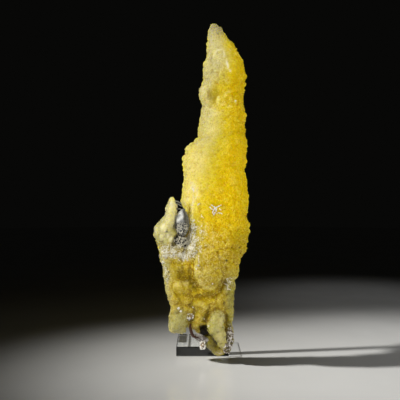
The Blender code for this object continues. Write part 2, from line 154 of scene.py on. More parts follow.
LEFT_MASS = [
    (197.4, 171.2, 173.0, -23.6, -21.0),
    (200, 169.4, 175.0, -25.0, -19.0),
    (205, 167.0, 175.9, -26.9, -17.9),
    (210, 165.4, 176.2, -28.1, -17.5),
    (215, 164.0, 176.4, -29.2, -17.2),
    (220, 160.0, 176.8, -30.0, -16.4),
    (225, 156.4, 177.4, -30.8, -15.6),
    (230, 153.8, 178.6, -31.2, -15.0),
    (235, 154.4, 180.6, -31.4, -14.6),
    (240, 156.6, 182.6, -31.2, -14.4),
    (245, 158.6, 184.0, -30.8, -14.4),
    (250, 160.4, 185.0, -30.4, -14.6),
    (255, 161.0, 186.0, -30.2, -14.8),
    (260, 161.4, 187.0, -30.0, -15.0),
    (265, 162.6, 187.6, -30.0, -15.2),
    (270, 163.0, 188.0, -30.2, -15.4),
    (275, 163.8, 189.0, -30.6, -15.6),
    (280, 165.2, 190.0, -31.2, -15.8),
    (285, 166.0, 190.6, -31.6, -16.0),
    (290, 166.2, 191.0, -31.8, -16.4),
    (295, 168.0, 191.0, -31.8, -16.6),
    (300, 170.2, 190.6, -31.6, -17.0),
    (305, 170.8, 190.2, -31.1, -17.1),
    (310, 169.8, 189.6, -30.7, -17.3),
    (315, 169.6, 189.0, -30.2, -17.4),
    (320, 169.7, 188.4, -30.0, -17.8),
    (325, 169.0, 187.4, -29.6, -18.4),
    (328.0, 169.6, 186.8, -28.6, -19.4),
    (330.2, 170.4, 186.2, -27.8, -20.2),
    (331.2, 172.0, 184.6, -26.4, -21.8),
]

# sheet centre, half width, half height, centre and half depth in mm, lean
LOBES = [
    (204.6, 94.5, 5.0, 9.4, 5.0, 6.6, 0),
    (178.4, 320.4, 8.6, 9.4, -23.6, 6.2, 0),
    # ground under the grey spindle and its crust
    (183, 240, 9.0, 9.0, -19.5, 6.6, 0),
    (181.5, 226, 7.0, 13.0, -15.0, 6.0, 0),
    # body beside the spindle
    (195.8, 223, 8.0, 22.0, -19.4, 5.2, 0),
    # pale bean in front of the tail
    (218.0, 320.6, 6.8, 9.0, -26.0, 5.2, 8),
    (214.6, 328.4, 7.2, 7.6, -27.0, 5.0, 0),
    (218.2, 334.6, 6.0, 9.0, -27.0, 4.6, -14),
    (221.0, 342.0, 4.2, 8.0, -26.8, 4.2, -16),
    # tail
    (208.6, 336.6, 5.0, 4.6, -21.4, 4.0, -34),
    (213.2, 343.6, 6.6, 8.8, -23.6, 4.8, -32),
    (218.4, 349.6, 6.8, 5.8, -25.2, 5.2, -14),
    # ground of the crystals down the right of the tail
    (228.0, 332, 4.2, 7.6, -23.0, 4.6, 0),
    (228.0, 340, 4.4, 7.0, -23.4, 5.0, 0),
    (226.0, 347.6, 4.4, 5.0, -24.4, 4.8, 0),
]

# lumps raised on the front: centre, half sizes, height in mm, lean
LUMPS = [
    (217, 62, 6.5, 24, 0.7, -8),
    (232, 72, 9.0, 22, 0.5, -10),
    (209, 66, 5.0, 14, 0.4, -6),
    (218.5, 98, 3.0, 4.6, 0.8, 8),
    (226, 96, 3.0, 3.6, 0.6, 0),
    (230.5, 99, 3.0, 3.4, 0.6, 0),
    (235.5, 101, 2.6, 3.4, 0.5, 0),
    (219, 113, 12.0, 5.0, 0.3, -6),
    (212, 127, 11.0, 15, 0.6, 10),
    (234, 122, 10.0, 18, 0.5, 0),
    (236, 147, 9.0, 15, 0.7, 0),
    (203, 154, 11.0, 17, 0.6, 14),
    (192, 153, 7.0, 10.0, 0.7, 20),
    (196, 180, 11.0, 18, 0.6, 0),
    (214, 186, 8.0, 12, 0.4, 0),
    (236, 184, 10.0, 20, 0.6, 0),
    (203, 204, 14.0, 15, 0.6, 0),
    (231, 208, 13.0, 20, 0.6, 0),
    (226, 232, 16.0, 22, 0.8, 0),
    (210, 240, 14.0, 24, 1.2, -6),
    (221, 258, 16.0, 24, 1.4, 4),
    (230, 270, 7.0, 15, 1.1, 0),
    # lower left
    (167, 256, 6.6, 11, 0.9, 0),
    (172, 273, 8.0, 9.0, 1.0, 0),
    (169, 291, 5.0, 9.0, 1.2, 0),
    (186.4, 288, 5.6, 6.2, 1.3, 0),
    (187, 300.5, 6.4, 4.4, 1.0, 0),
    (173, 300, 5.0, 7.0, 1.1, 0),
    (178.4, 288.0, 6.2, 6.4, 1.4, 0),
    (176, 311, 6.4, 6.4, 0.9, 0),
    (188, 311, 5.4, 5.2, 0.9, 0),
    (191, 326, 5.0, 7.0, 1.2, 0),
    # lower right
    (196.6, 304, 5.8, 5.6, 1.1, 0),
    (204.6, 309, 6.0, 6.2, 1.3, 0),
    (213, 303, 5.4, 5.6, 1.0, 0),
    (199, 318, 6.6, 6.4, 1.2, 0),
    (208, 318, 3.6, 5.0, 1.2, 0),
    (228, 297, 6.4, 13, 1.4, 0),
    (220, 300, 5.2, 7.0, 1.2, 0),
    (230, 314, 4.4, 8, 1.2, 0),
]

# steeper ones, with a rim that stands clear of the ground
BOSSES = [
    (203.0, 94.6, 6.4, 10.4, 0.9, 0),
    # broad lobe that ends in a rounded lip
    (208.4, 268.5, 14.6, 22.8, 3.0, 0),
    # finger and the left lobes
    (171.0, 215, 5.2, 16.0, 1.2, 10),
    (161.6, 232, 7.8, 9.6, 1.1, 0),
    (169.4, 237, 6.4, 9.6, 1.5, 0),
    (178.6, 321.0, 10.4, 11.0, 1.2, 0),
    # bean
    (217.2, 319.4, 7.2, 9.0, 2.3, 10),
    (215.6, 327.0, 8.2, 7.6, 2.5, 0),
    (219.0, 334.6, 6.2, 8.6, 2.3, -22),
    (222.0, 341.6, 4.0, 8.0, 1.8, -20),
]

# hollows pressed into the front: centre, half sizes, depth in mm, lean
HOLLOWS = [
    (214.0, 94, 5.6, 9.0, 0.9, 8),
    (215, 105.5, 11.0, 2.0, 0.4, -8),
    (218, 168, 5.6, 28, 0.5, -10),
    (185.0, 276, 8.0, 6.4, 1.2, 0),
    (191.6, 279, 4.6, 12.0, 1.7, -20),
    (207, 297, 13.0, 3.6, 1.7, -2),
    (222.4, 287, 3.6, 8.0, 1.3, 30),
    (182, 241, 7.4, 7.0, 1.4, 0),
    (181.5, 221, 5.6, 13.0, 1.1, 0),
    (173.4, 243, 2.4, 5.0, 1.0, 20),
    (206.6, 316, 2.6, 9.0, 1.4, 14),
    (227.2, 327, 2.2, 12.0, 1.2, 4),
    (192, 319, 3.0, 8.0, 0.9, 10),
    (203.6, 330.8, 5.4, 4.4, 2.8, -20),
]


def new_object(name, mesh):
    made = bpy.data.objects.new(name, mesh)
    scene.collection.objects.link(made)
    return made


def section_ring(row, left, right, front_mm, back_mm, count=56, power=0.86):
    middle = 0.5 * (front_mm + back_mm)
    a, b = at(left, row, middle), at(right, row, middle)
    centre_x, half_x = 0.5 * (a.x + b.x), 0.5 * (b.x - a.x)
    half_y = 0.5 * (back_mm - front_mm) * MM
    ring = []
    for i in range(count):
        turn = 2 * math.pi * i / count
        c, s = math.cos(turn), math.sin(turn)
        ring.append(
            (
                centre_x + half_x * math.copysign(abs(c) ** power, c),
                middle * MM + half_y * math.copysign(abs(s) ** power, s),
                a.z,
            )
        )
    return ring


def evened(values, passes=2):
    for _ in range(passes):
        values = (
            values[:1]
            + [
                0.25 * a + 0.5 * b + 0.25 * c
                for a, b, c in zip(values, values[1:], values[2:])
            ]
            + values[-1:]
        )
    return values


def core_stations(stations):
    rows, left, right, front, back = map(list, zip(*stations))
    even_left, even_right = evened(left), evened(right)
    core = []
    for i, row in enumerate(rows):
        a = 0.5 * (left[i] + even_left[i])
        b = 0.5 * (right[i] + even_right[i])
        f, g = front[i], back[i]
        inset = min(CORE_INSET, 0.2 * (b - a))
        depth = min(0.8, 0.2 * (g - f))
        core.append((row, a + inset, b - inset, f + depth, g - depth))
    return core


def add_loft(bm, stations):
    rings = [[bm.verts.new(p) for p in section_ring(*row)] for row in stations]
    for upper, lower in zip(rings, rings[1:]):
        for i in range(len(upper)):
            j = (i + 1) % len(upper)
            bm.faces.new((upper[i], lower[i], lower[j], upper[j]))
    for ring in (rings[0], rings[-1]):
        centre = sum((p.co for p in ring), Vector()) / len(ring)
        hub = bm.verts.new(centre)
        for i in range(len(ring)):
            j = (i + 1) % len(ring)
            if ring is rings[0]:
                bm.faces.new((ring[i], ring[j], hub))
            else:
                bm.faces.new((ring[j], ring[i], hub))


class Cluster:
    """Balls that share two meshes, fine and coarse, until they are joined."""

    def __init__(self):
        self.pieces = []
        self.fine = self.ball("lobe_ball", 4)
        self.coarse = self.ball("knob_ball", 3)

    @staticmethod
    def ball(name, subdivisions):
        bm = bmesh.new()
        bmesh.ops.create_icosphere(bm, subdivisions=subdivisions, radius=1.0)
        mesh = bpy.data.meshes.new(name)
        bm.to_mesh(mesh)
        bm.free()
        return mesh

    def lobe(self, u, v, half_u, half_v, y_mm, half_y_mm, lean):
        k = scale_at(y_mm)
        piece = new_object("lobe", self.fine if half_v > 7 else self.coarse)
        piece.matrix_world = (
            Matrix.Translation(at(u, v, y_mm))
            @ Matrix.Rotation(math.radians(lean), 4, "Y")
            @ Matrix.Diagonal((half_u * k, half_y_mm * MM, half_v * k, 1.0))
        )
        self.pieces.append(piece)

    def joined_to(self, core):
        override = {
            "active_object": core,
            "object": core,
            "selected_objects": [core, *self.pieces],
            "selected_editable_objects": [core, *self.pieces],
        }
        bpy.context.view_layer.update()
        with bpy.context.temp_override(**override):
            bpy.ops.object.join()
        return core


def add_edge_knobs(cluster, stations, chance):
    for row, left, right, front, back in stations[2:]:
        middle, thick = 0.5 * (front + back), back - front
        half = min(3.8, 0.26 * (right - left))
        for side, edge in ((1, left), (-1, right)):
            if chance.random() < 0.25:
                continue
            size = half * chance.uniform(0.7, 1.1)
            v = row + chance.uniform(-1.6, 1.6)
            y = middle + thick * chance.uniform(-0.22, 0.22)
            deep = size * chance.uniform(0.9, 1.6) * scale_at(y) / MM
            cluster.lobe(edge + side * size * 1.02, v, size, size, y, deep, 0)


def add_surface_knobs(cluster, stations, chance):
    core = core_stations(stations)
    for (row, left, right, front, back), (nxt, *_) in zip(core[2:], core[3:]):
        width = right - left
        for around in range(max(6, int(width / 2.6))):
            turn = 2 * math.pi * chance.random()
            v = chance.uniform(row, nxt)
            size = chance.uniform(2.8, 5.4) * min(1.0, width / 26)
            proud = chance.uniform(0.2, 0.9)
            c = math.copysign(abs(math.cos(turn)) ** 0.86, math.cos(turn))
            s = math.copysign(abs(math.sin(turn)) ** 0.86, math.sin(turn))
            half_u = 0.5 * width - size + proud
            k = scale_at(front)
            half_y = 0.5 * (back - front) - (size - proud) * k / MM
            if half_u < 1 or half_y < 0.4:
                continue
            u = 0.5 * (left + right) + half_u * c
            y = 0.5 * (front + back) + half_y * s
            tall = size * chance.uniform(0.8, 1.3)
            cluster.lobe(u, v, size, tall, y, size * k / MM, 0)


# ------------------------------------------------------------- small helpers
def smooth(a, b, x):
    t = np.clip((x - a) / (b - a), 0.0, 1.0)
    return t * t * (3 - 2 * t)


def blob(u, v, cu, cv, ru, rv, lean=0.0, soft=0.5):
    """1 inside an ellipse on the sheet, fading to 0 over its outer part."""
    a = math.radians(lean)
    du, dv = u - cu, v - cv
    x = du * math.cos(a) + dv * math.sin(a)
    y = -du * math.sin(a) + dv * math.cos(a)
    return 1 - smooth(1 - soft, 1 + soft, np.sqrt((x / ru) ** 2 + (y / rv) ** 2))


def round_top(u, v, cu, cv, ru, rv, lean=0.0, steep=0.5):
    """A lump's rounded top: 1 at its centre, falling to 0 at its rim."""
    a = math.radians(lean)
    du, dv = u - cu, v - cv
    x = du * math.cos(a) + dv * math.sin(a)
    y = -du * math.sin(a) + dv * math.cos(a)
    return np.clip(1 - (x / ru) ** 2 - (y / rv) ** 2, 0, 1) ** steep


def turbulence(points, size, octaves=3, seed=0.0):
    out = np.empty(len(points))
    shift = Vector((seed * 7.31, seed * 3.17, seed * 5.71))
    for i, p in enumerate(points / size):
        out[i] = noise.fractal(Vector(p) + shift, 0.9, 2.1, octaves)
    return out


def cells(points, size, seed=0.0):
    """Distance to the nearest cell centre, in cells, and a chance value per cell."""
    first, tone = np.empty(len(points)), np.empty(len(points))
    shift = Vector((seed * 1.37, seed * 9.11, seed * 4.03))
    for i, p in enumerate(points / size):
        d, sites = noise.voronoi(Vector(p) + shift)
        x, y, z = sites[0]
        first[i] = d[0]
        tone[i] = math.sin(12.9898 * x + 78.233 * y + 37.719 * z) * 43758.5453 % 1.0
    return first, tone


def standing_out(mesh, points, directions, passes):
    """How far each vertex stands out of the evened surface around it."""
    ends = np.empty(len(mesh.edges) * 2, dtype=np.int64)
    mesh.edges.foreach_get("vertices", ends)
    a, b = ends[::2], ends[1::2]
    count = len(points)
    degree = np.maximum(np.bincount(ends, minlength=count), 1)
    even = points.copy()
    for _ in range(passes):
        around = np.stack(
            [
                np.bincount(a, even[b, k], count) + np.bincount(b, even[a, k], count)
                for k in range(3)
            ],
            axis=1,
        )
        even = 0.5 * even + 0.5 * around / degree[:, None]
    return ((points - even) * directions).sum(axis=1)


def coords(mesh):
    out = np.empty(len(mesh.vertices) * 3)
    mesh.vertices.foreach_get("co", out)
    return out.reshape(-1, 3)


def normals(mesh):
    out = np.empty(len(mesh.vertices) * 3)
    mesh.vertices.foreach_get("normal", out)
    return out.reshape(-1, 3)


def sheet_of(points):
    k = (points[:, 1] - EYE.y) / FOCAL
    return 200 + (points[:, 0] - EYE.x) / k, 200 - (points[:, 2] - EYE.z) / k


def write_mask(mesh, name, values):
    layer = mesh.attributes.new(name, "FLOAT", "POINT")
    layer.data.foreach_set("value", np.clip(values, 0, 1).astype(np.float32))


# -------------------------------------------------------------- the material
class Nodes:
    """Short calls for one material's node tree."""

    def __init__(self, name):
        self.mat = bpy.data.materials.new(name)
        self.mat.use_nodes = True
        self.tree = self.mat.node_tree
        self.shader = self.tree.nodes["Principled BSDF"]
        self.place = self.tree.nodes.new("ShaderNodeTexCoord").outputs["Object"]

    def link(self, a, b):
        self.tree.links.new(a, b)

    def set(self, **values):
        for key, value in values.items():
            self.shader.inputs[key.replace("_", " ")].default_value = value

    def mask(self, name):
        node = self.tree.nodes.new("ShaderNodeAttribute")
        node.attribute_name = name
        return node.outputs["Fac"]

    def noise(self, scale, detail=3.0, rough=0.55, distort=0.0):
        node = self.tree.nodes.new("ShaderNodeTexNoise")
        node.inputs["Scale"].default_value = scale
        node.inputs["Detail"].default_value = detail
        node.inputs["Roughness"].default_value = rough
        node.inputs["Distortion"].default_value = distort
        self.link(self.place, node.inputs["Vector"])
        return node.outputs["Fac"]

    def voronoi(self, scale, feature="F1", randomness=1.0):
        node = self.tree.nodes.new("ShaderNodeTexVoronoi")
        node.feature = feature
        node.inputs["Scale"].default_value = scale
        node.inputs["Randomness"].default_value = randomness
        self.link(self.place, node.inputs["Vector"])
        return node.outputs["Distance"]

    def ramp(self, factor, low, high, a=0.0, b=1.0):
        node = self.tree.nodes.new("ShaderNodeMapRange")
        node.interpolation_type = "SMOOTHSTEP"
        node.inputs["From Min"].default_value = low
        node.inputs["From Max"].default_value = high
        node.inputs["To Min"].default_value = a
        node.inputs["To Max"].default_value = b
        self.link(factor, node.inputs["Value"])
        return node.outputs["Result"]

    def math(self, how, a, b):
        node = self.tree.nodes.new("ShaderNodeMath")
        node.operation = how
        node.use_clamp = how != "SUBTRACT"
        for i, x in enumerate((a, b)):
            if isinstance(x, (int, float)):
                node.inputs[i].default_value = x
            else:
                self.link(x, node.inputs[i])
        return node.outputs[0]

    def mix(self, factor, a, b, how="MIX"):
        node = self.tree.nodes.new("ShaderNodeMix")
        node.data_type = "RGBA"
        node.blend_type = how
        if isinstance(factor, (int, float)):
            node.inputs[0].default_value = factor
        else:
            self.link(factor, node.inputs[0])
        for i, x in ((6, a), (7, b)):
            if isinstance(x, tuple):
                node.inputs[i].default_value = (*x, 1.0)
            else:
                self.link(x, node.inputs[i])
        return node.outputs[2]

    def bump(self, height, distance, strength, under=None):
        node = self.tree.nodes.new("ShaderNodeBump")
        node.inputs["Distance"].default_value = distance
        node.inputs["Strength"].default_value = strength
        self.link(height, node.inputs["Height"])
        if under is not None:
            self.link(under, node.inputs["Normal"])
        return node.outputs["Normal"]


GOLD = (0.88, 0.63, 0.004)
YELLOW = (0.90, 0.75, 0.05)
CREAM = (0.80, 0.725, 0.37)
LOWER = (0.57, 0.425, 0.012)
GREENISH = (0.67, 0.62, 0.37)
OLIVE = (0.44, 0.335, 0.012)
HONEY = (0.66, 0.57, 0.24)
# pale tint laid on as painted highlight
PALE_HIGHLIGHT = (0.94, 0.87, 0.48)
WHITE = (0.96, 0.90, 0.58)
TIP = (0.47, 0.42, 0.26)
PALE = (0.84, 0.80, 0.62)
# near black for dark spots and for painted shade
DARK_SPOT_SHADE = (0.020, 0.017, 0.012)


def brucite_material(name, scatter, reach):
    n = Nodes(name)
    times = lambda a, b: n.math("MULTIPLY", a, b)
    mottle = n.noise(420, 4, 0.6, 0.4)
    fine = n.noise(1500, 3, 0.6)
    grit, deep = n.mask("grit"), n.mask("deep")
    base = n.mix(n.ramp(mottle, 0.22, 0.60), GOLD, YELLOW)
    base = n.mix(n.mask("gold"), base, GOLD)
    base = n.mix(n.mask("cream"), base, CREAM)
    base = n.mix(n.mask("low"), base, LOWER)
    base = n.mix(n.mask("green"), base, GREENISH)
    base = n.mix(n.mask("olive"), base, OLIVE)
    base = n.mix(n.mask("tip"), base, TIP)
    # painted shade and highlight: the hollows painted darker honey, the tops painted paler
    base = n.mix(times(n.mask("sunk"), n.ramp(deep, 0.0, 1.0, 0.30, 0.90)), base, n.mix(1.0, base, HONEY, "MULTIPLY"))
    base = n.mix(times(n.mask("proud"), n.ramp(grit, 0.0, 1.0, 0.15, 0.55)), base, n.mix(0.45, base, PALE_HIGHLIGHT))
    # pale marks of the stone and painted highlights
    base = n.mix(n.mask("pale_and_highlight"), base, n.mix(0.75, base, PALE_HIGHLIGHT))
    # sugary grains, each with its own tone
    tone = n.mask("tone")
    bright = times(times(n.ramp(tone, 0.60, 0.95), grit), n.ramp(fine, 0.35, 0.60, 0.25, 0.62))
    base = n.mix(bright, base, n.mix(0.75, base, WHITE))
    dull = times(n.ramp(tone, 0.40, 0.05), n.ramp(deep, 0.0, 1.0, 0.03, 0.50))
    base = n.mix(dull, base, n.mix(1.0, base, HONEY, "MULTIPLY"))
    # painted shade in the creases between the grains, stronger lower down
    crease_shade = times(n.ramp(n.mask("crease"), 0.35, 0.95), n.ramp(deep, 0.0, 1.0, 0.10, 0.60))
    base = n.mix(crease_shade, base, n.mix(1.0, base, HONEY, "MULTIPLY"))
    specks = times(times(n.ramp(n.voronoi(1150), 0.34, 0.14), n.ramp(fine, 0.47, 0.60)), n.ramp(grit, 0.2, 0.9, 0.60, 1.0))
    base = n.mix(times(specks, 0.85), base, WHITE)
    pores = n.math("MULTIPLY", n.ramp(n.noise(1250, 2, 0.5), 0.52, 0.36), n.ramp(grit, 0.2, 0.9, 0.26, 0.62))
    base = n.mix(pores, base, n.mix(1.0, base, HONEY, "MULTIPLY"))
    # darker in places: partly the stone's darker parts, partly painted shade
    base = n.mix(n.mask("dim"), base, n.mix(1.0, base, n.mix(n.mask("cream"), (0.50, 0.51, 0.22), (0.50, 0.51, 0.46)), "MULTIPLY"))
    # deeper gold on the golden side away from the highlights, partly painted glow
    base = n.mix(times(n.mask("gold"), n.ramp(n.mask("pale_and_highlight"), 0.2, 0.7, 0.85, 0.0)), base, n.mix(1.0, base, (1.0, 1.0, 0.42), "MULTIPLY"))
    # white crust, and painted glints
    base = n.mix(n.mask("white"), base, PALE)
    # dark spots, and painted shade in gaps and openings
    base = n.mix(n.mask("dark_spot_and_shade"), base, DARK_SPOT_SHADE)
    n.link(base, n.shader.inputs["Base Color"])
    rough = n.ramp(n.noise(900, 3, 0.6), 0.35, 0.7, 0.24, 0.46)
    n.link(rough, n.shader.inputs["Roughness"])
    height = n.mix(0.5, n.ramp(n.voronoi(1150), 0.8, 0.0), n.noise(2200, 3, 0.6))
    n.link(n.bump(height, 0.0006, 0.42), n.shader.inputs["Normal"])
    n.link(n.ramp(deep, 0.0, 1.0, reach, 0.45 * reach), n.shader.inputs["Subsurface Scale"])
    n.set(
        Subsurface_Weight=scatter,
        Subsurface_Radius=(1.0, 0.90, 0.12),
        Specular_IOR_Level=0.45,
        IOR=1.57,
    )
    return n.mat


# ------------------------------------------------------------ the grown skin
def grow():
    bm = bmesh.new()
    for stations in (MAIN_BODY, LEFT_MASS):
        add_loft(bm, core_stations(stations))
    bmesh.ops.recalc_face_normals(bm, faces=bm.faces)
    raw = bpy.data.meshes.new("growth_core")
    bm.to_mesh(raw)
    bm.free()
    core = new_object("growth_core", raw)
    cluster = Cluster()
    chance = random.Random(KNOB_SEED)
    for stations in (MAIN_BODY, LEFT_MASS):
        add_edge_knobs(cluster, stations, chance)
        add_surface_knobs(cluster, stations, chance)
    for lobe in LOBES:
        cluster.lobe(*lobe)
    cluster.joined_to(core)
    remesh = core.modifiers.new("grown_together", "REMESH")
    remesh.mode = "VOXEL"
    remesh.voxel_size = VOXEL
    soften = core.modifiers.new("soften", "SMOOTH")
    soften.factor = 0.5
    soften.iterations = 8
    bpy.context.view_layer.update()
    graph = bpy.context.evaluated_depsgraph_get()
    mesh = bpy.data.meshes.new_from_object(core.evaluated_get(graph))
    bpy.data.objects.remove(core)
    mesh.name = "brucite_growth"
    return mesh


def skin(mesh):
    """Botryoidal grain as real relief, and the masks that the colour reads."""
    p, n = coords(mesh), normals(mesh)
    u, v = sheet_of(p)
    # no knob is left as a spike
    spike = np.clip(standing_out(mesh, p, n, 12) - 0.00062, 0, None)
    p = p - n * (spike * smooth(45, 55, v) * (1 - (u < 182) * (v < 215)))[:, None]
    calm_tip = smooth(52, 40, v)
    p = p - n * (0.8 * np.clip(standing_out(mesh, p, n, 9), -0.0006, 0.0008) * calm_tip)[:, None]
    p = p - n * (0.0013 * blob(u, v, 244.2, 56.5, 3.8, 4.4, 0, 0.5))[:, None]
    front = smooth(0.25, -0.35, n[:, 1])
    wander = turbulence(p, 0.011, 3, 1)
    fine = turbulence(p, 0.0034, 3, 2)
    drift = turbulence(p, 0.019, 2, 4)

    # the macro relief: rounded lumps, hollows and a slow waviness
    uw, vw = u + 1.4 * fine + 1.0 * wander, v + 1.4 * wander - 1.0 * fine
    raised = np.zeros(len(p))
    for table, steep, bend in ((LUMPS, 0.9, 1.0), (BOSSES, 0.5, 0.45)):
        bu_, bv_ = u + bend * (uw - u), v + bend * (vw - v)
        for bu, bv, ru, rv, amount, lean in table:
            raised = np.maximum(raised, amount * round_top(bu_, bv_, bu, bv, ru, rv, lean, steep))
    raised *= 1 - 0.4 * blob(u, v, 178.6, 321, 12, 12, 0, 0.4)
    pressed = np.zeros(len(p))
    for bu, bv, ru, rv, amount, lean in HOLLOWS:
        pressed = np.maximum(pressed, amount * blob(uw, vw, bu, bv, ru, rv, lean, 0.7))
    # lumps of the sides and the back, which the sheet doesn't show
    behind, _ = cells(p + 0.0022 * drift[:, None], 0.0125, 21)
    back_lumps = np.sqrt(np.clip(1 - (behind / 0.8) ** 2, 0, 1)) * (1 - front)
    press = MM * (front * (raised - pressed) + 1.3 * (back_lumps - 0.4) + 0.4 * drift)
    press *= 1 - 0.8 * smooth(0.25, 0.8, -n[:, 2])  # broken off flat below
    p = p + n * press[:, None]
    mesh.vertices.foreach_set("co", p.ravel())
    mesh.update()
    n = normals(mesh)

    rough_ground = np.interp(v, [20, 60, 108, 130, 155, 200, 225, 245, 262, 280, 300, 350], [0.6, 0.95, 1.0, 0.66, 0.5, 0.6, 0.9, 1.1, 0.95, 0.76, 0.76, 0.65])
    rough_ground *= 1 - 0.85 * smooth(56, 38, v)
    calm_hollow = blob(u, v, 213.6, 94, 5.6, 9.4, 8, 0.5)
    rough_ground *= 1 - 0.8 * calm_hollow
    rough_ground *= 1 - 0.55 * smooth(223, 232, u) * smooth(50, 58, v) * smooth(98, 88, v)
    rough_ground = np.maximum(rough_ground, 1.0 * blob(u, v, 208, 270, 16, 23, 0, 0.3))
    rough_ground = np.maximum(rough_ground, 1.1 * smooth(222, 230, u) * smooth(240, 262, v))
    rough_ground = np.maximum(rough_ground, 1.0 * smooth(172, 166, u) * smooth(240, 250, v) * smooth(300, 285, v))
    waxy = np.zeros(len(p))
    for cu, cv, ru, rv, lean in (
        (185, 276, 9, 8, 0), (178, 325, 11, 13, 0), (217, 328, 8, 18, -6), (162, 231, 9, 10, 0),
        (170, 216, 6, 17, 10), (179, 288, 6, 6, 0), (187, 288, 5, 6, 0), (198, 300, 14, 6, 0),
    ):
        waxy = np.maximum(waxy, blob(u, v, cu, cv, ru, rv, lean, 0.4))
    rough_ground = rough_ground * (1 - 0.50 * waxy)
    big, _ = cells(p + 0.0006 * fine[:, None], 0.0046, 3)
    mid, _ = cells(p + 0.0003 * fine[:, None], 0.0023, 5)
    small, tone = cells(p, 0.00135, 9)
    dome = np.sqrt(np.clip(1 - (big / 0.82) ** 2, 0, 1))
    knob = np.sqrt(np.clip(1 - (mid / 0.86) ** 2, 0, 1))
    grain = np.sqrt(np.clip(1 - (small / 0.90) ** 2, 0, 1))
    lively = 0.55 + 0.45 * smooth(-0.3, 0.5, wander)
    berry, _ = cells(p + 0.0008 * fine[:, None], 0.0034, 14)
    berry = np.sqrt(np.clip(1 - (berry / 0.80) ** 2, 0, 1))
    height = 0.00026 * (dome - 0.6) + 0.00055 * (knob - 0.6) * lively + 0.00042 * (grain - 0.6)
    height += 0.00016 * fine
    height = height * rough_ground + 0.00052 * (berry - 0.6) * smooth(0.1, 0.9, rough_ground + 0.35)
    height *= (1 - 0.75 * calm_tip) * (1 - 0.5 * calm_hollow)
    q = p + n * height[:, None]
    q[:, 2] += 0.5 * np.clip(v - 331.0, 0, None) * smooth(194, 190, u) * (q[:, 1] - EYE.y) / FOCAL
    mesh.vertices.foreach_set("co", q.ravel())
    mesh.update()

    out = standing_out(mesh, q, normals(mesh), 31)
    out = (out - np.median(out)) / out.std()
    proud, sunk = smooth(0.1, 1.7, out), smooth(-0.1, -1.7, out)

    crease = 1 - (0.15 * dome + 0.45 * knob + 0.4 * grain)
    grit = np.clip(rough_ground, 0, 1.2) / 1.2
    across = smooth(188, 212, u)
    # dim darkens the colour: partly the stone's darker parts (bean, tail), partly painted shade on the right side
    # that turns away from the light
    dim = np.interp(v, [20, 60, 110, 132, 160, 200, 215, 232, 250, 300, 350], [0.42, 0.44, 0.37, 0.32, 0.07, 0.08, 0.20, 0.54, 0.48, 0.36, 0.25])
    dim += 0.20 * across * smooth(120, 150, v) * smooth(225, 205, v) * (1 - 0.55 * smooth(224, 236, u))
    dim *= 1 - 0.3 * blob(u, v, 180, 294, 14, 18, 0, 0.4)
    dim *= 1 - 0.5 * smooth(186, 176, u) * smooth(240, 250, v) * (1 - 0.7 * smooth(256, 266, v))
    dim += 0.18 * smooth(228, 236, u) * smooth(226, 236, v) * smooth(264, 250, v)
    dim = np.maximum(dim, 0.62 * smooth(218, 226, u) * smooth(266, 286, v))
    dim = np.maximum(dim, 0.95 * smooth(221, 229, u) * smooth(280, 292, v))
    dim = np.maximum(dim, 0.42 * smooth(182, 176, u) * smooth(195, 205, v) * smooth(262, 245, v))
    dim *= 1 - 0.75 * blob(u, v, 170.4, 213, 6, 15, 10, 0.4)
    dim = np.maximum(dim, 0.66 * blob(u, v, 173.4, 234, 3.4, 8, 0, 0.5))
    deep = smooth(210, 268, v) * (1 - 0.5 * smooth(184, 174, u) * smooth(252, 240, v))
    edge_noise = 3.0 * wander + 1.5 * fine
    ue, ve = u + edge_noise, v + edge_noise

    # pale upper left, golden right: partly the stone's own colour, partly painted light, the lit left painted paler
    # and the right painted golden like light shining through
    border = np.interp(
        v,
        [20, 45, 60, 75, 90, 105, 130, 160, 190, 215],
        [221, 223, 226, 221, 211, 214, 217, 209, 200, 192],
    )
    cream = smooth(9, -9, ue - border) * np.interp(v, [20, 60, 110, 150, 200, 230], [1.0, 1.0, 0.95, 0.55, 0.40, 0.0])
    cream *= (0.35 + 0.65 * front) * (1 - 0.85 * blob(ue, ve, 214.4, 93, 5.4, 10, 10, 0.8))
    dim *= 1 - 0.55 * blob(ue, ve, 214.4, 93, 5.4, 10, 10, 0.8)
    dim *= 1 - 0.22 * blob(u, v, 208, 284, 12, 8, 0, 0.6)
    gold = smooth(-6, 14, ue - border - 8) * smooth(26, 58, v) * smooth(300, 262, v)
    low = smooth(225, 290, ve) * 0.95
    low = np.maximum(low, 0.45 * smooth(200, 235, v) * smooth(200, 190, u))
    dark_dots = []
    green = smooth(186, 174, ue) * smooth(190, 205, v) * smooth(252, 240, ve)
    green = np.maximum(green, 0.75 * smooth(176, 166, ue) * smooth(240, 260, v))
    green = np.maximum(green, 0.9 * blob(ue, ve, 178, 324, 11, 14))
    green = np.maximum(green, 0.65 * smooth(224, 231, ue) * smooth(262, 286, ve))
    bean = blob(u, v, 217.2, 319.4, 7.6, 9.4, 10, 0.3)
    for cu, cv, ru, rv, lean in ((215.6, 327.0, 8.6, 8.0, 0), (219.0, 334.6, 6.6, 9.0, -22), (222.0, 341.6, 4.4, 8.4, -20)):
        bean = np.maximum(bean, blob(u, v, cu, cv, ru, rv, lean, 0.3))
    green = np.maximum(green, 0.85 * bean)
    green = np.maximum(green, 0.6 * blob(u, v, 211, 345, 10, 13, -30, 0.5))
    for cu, cv, r in ((222.6, 321.0, 0.9), (221.0, 326.4, 0.8), (224.0, 331.0, 0.9), (219.6, 317.4, 0.7), (222.4, 336.6, 0.8), (216.6, 331.4, 0.7), (221.0, 343.0, 0.8), (213.4, 317.0, 0.6)):
        dark_dots.append((cu, cv, r, 0.55))
    dim = np.maximum(dim, (0.92 - 0.34 * smooth(212, 221, u)) * bean)
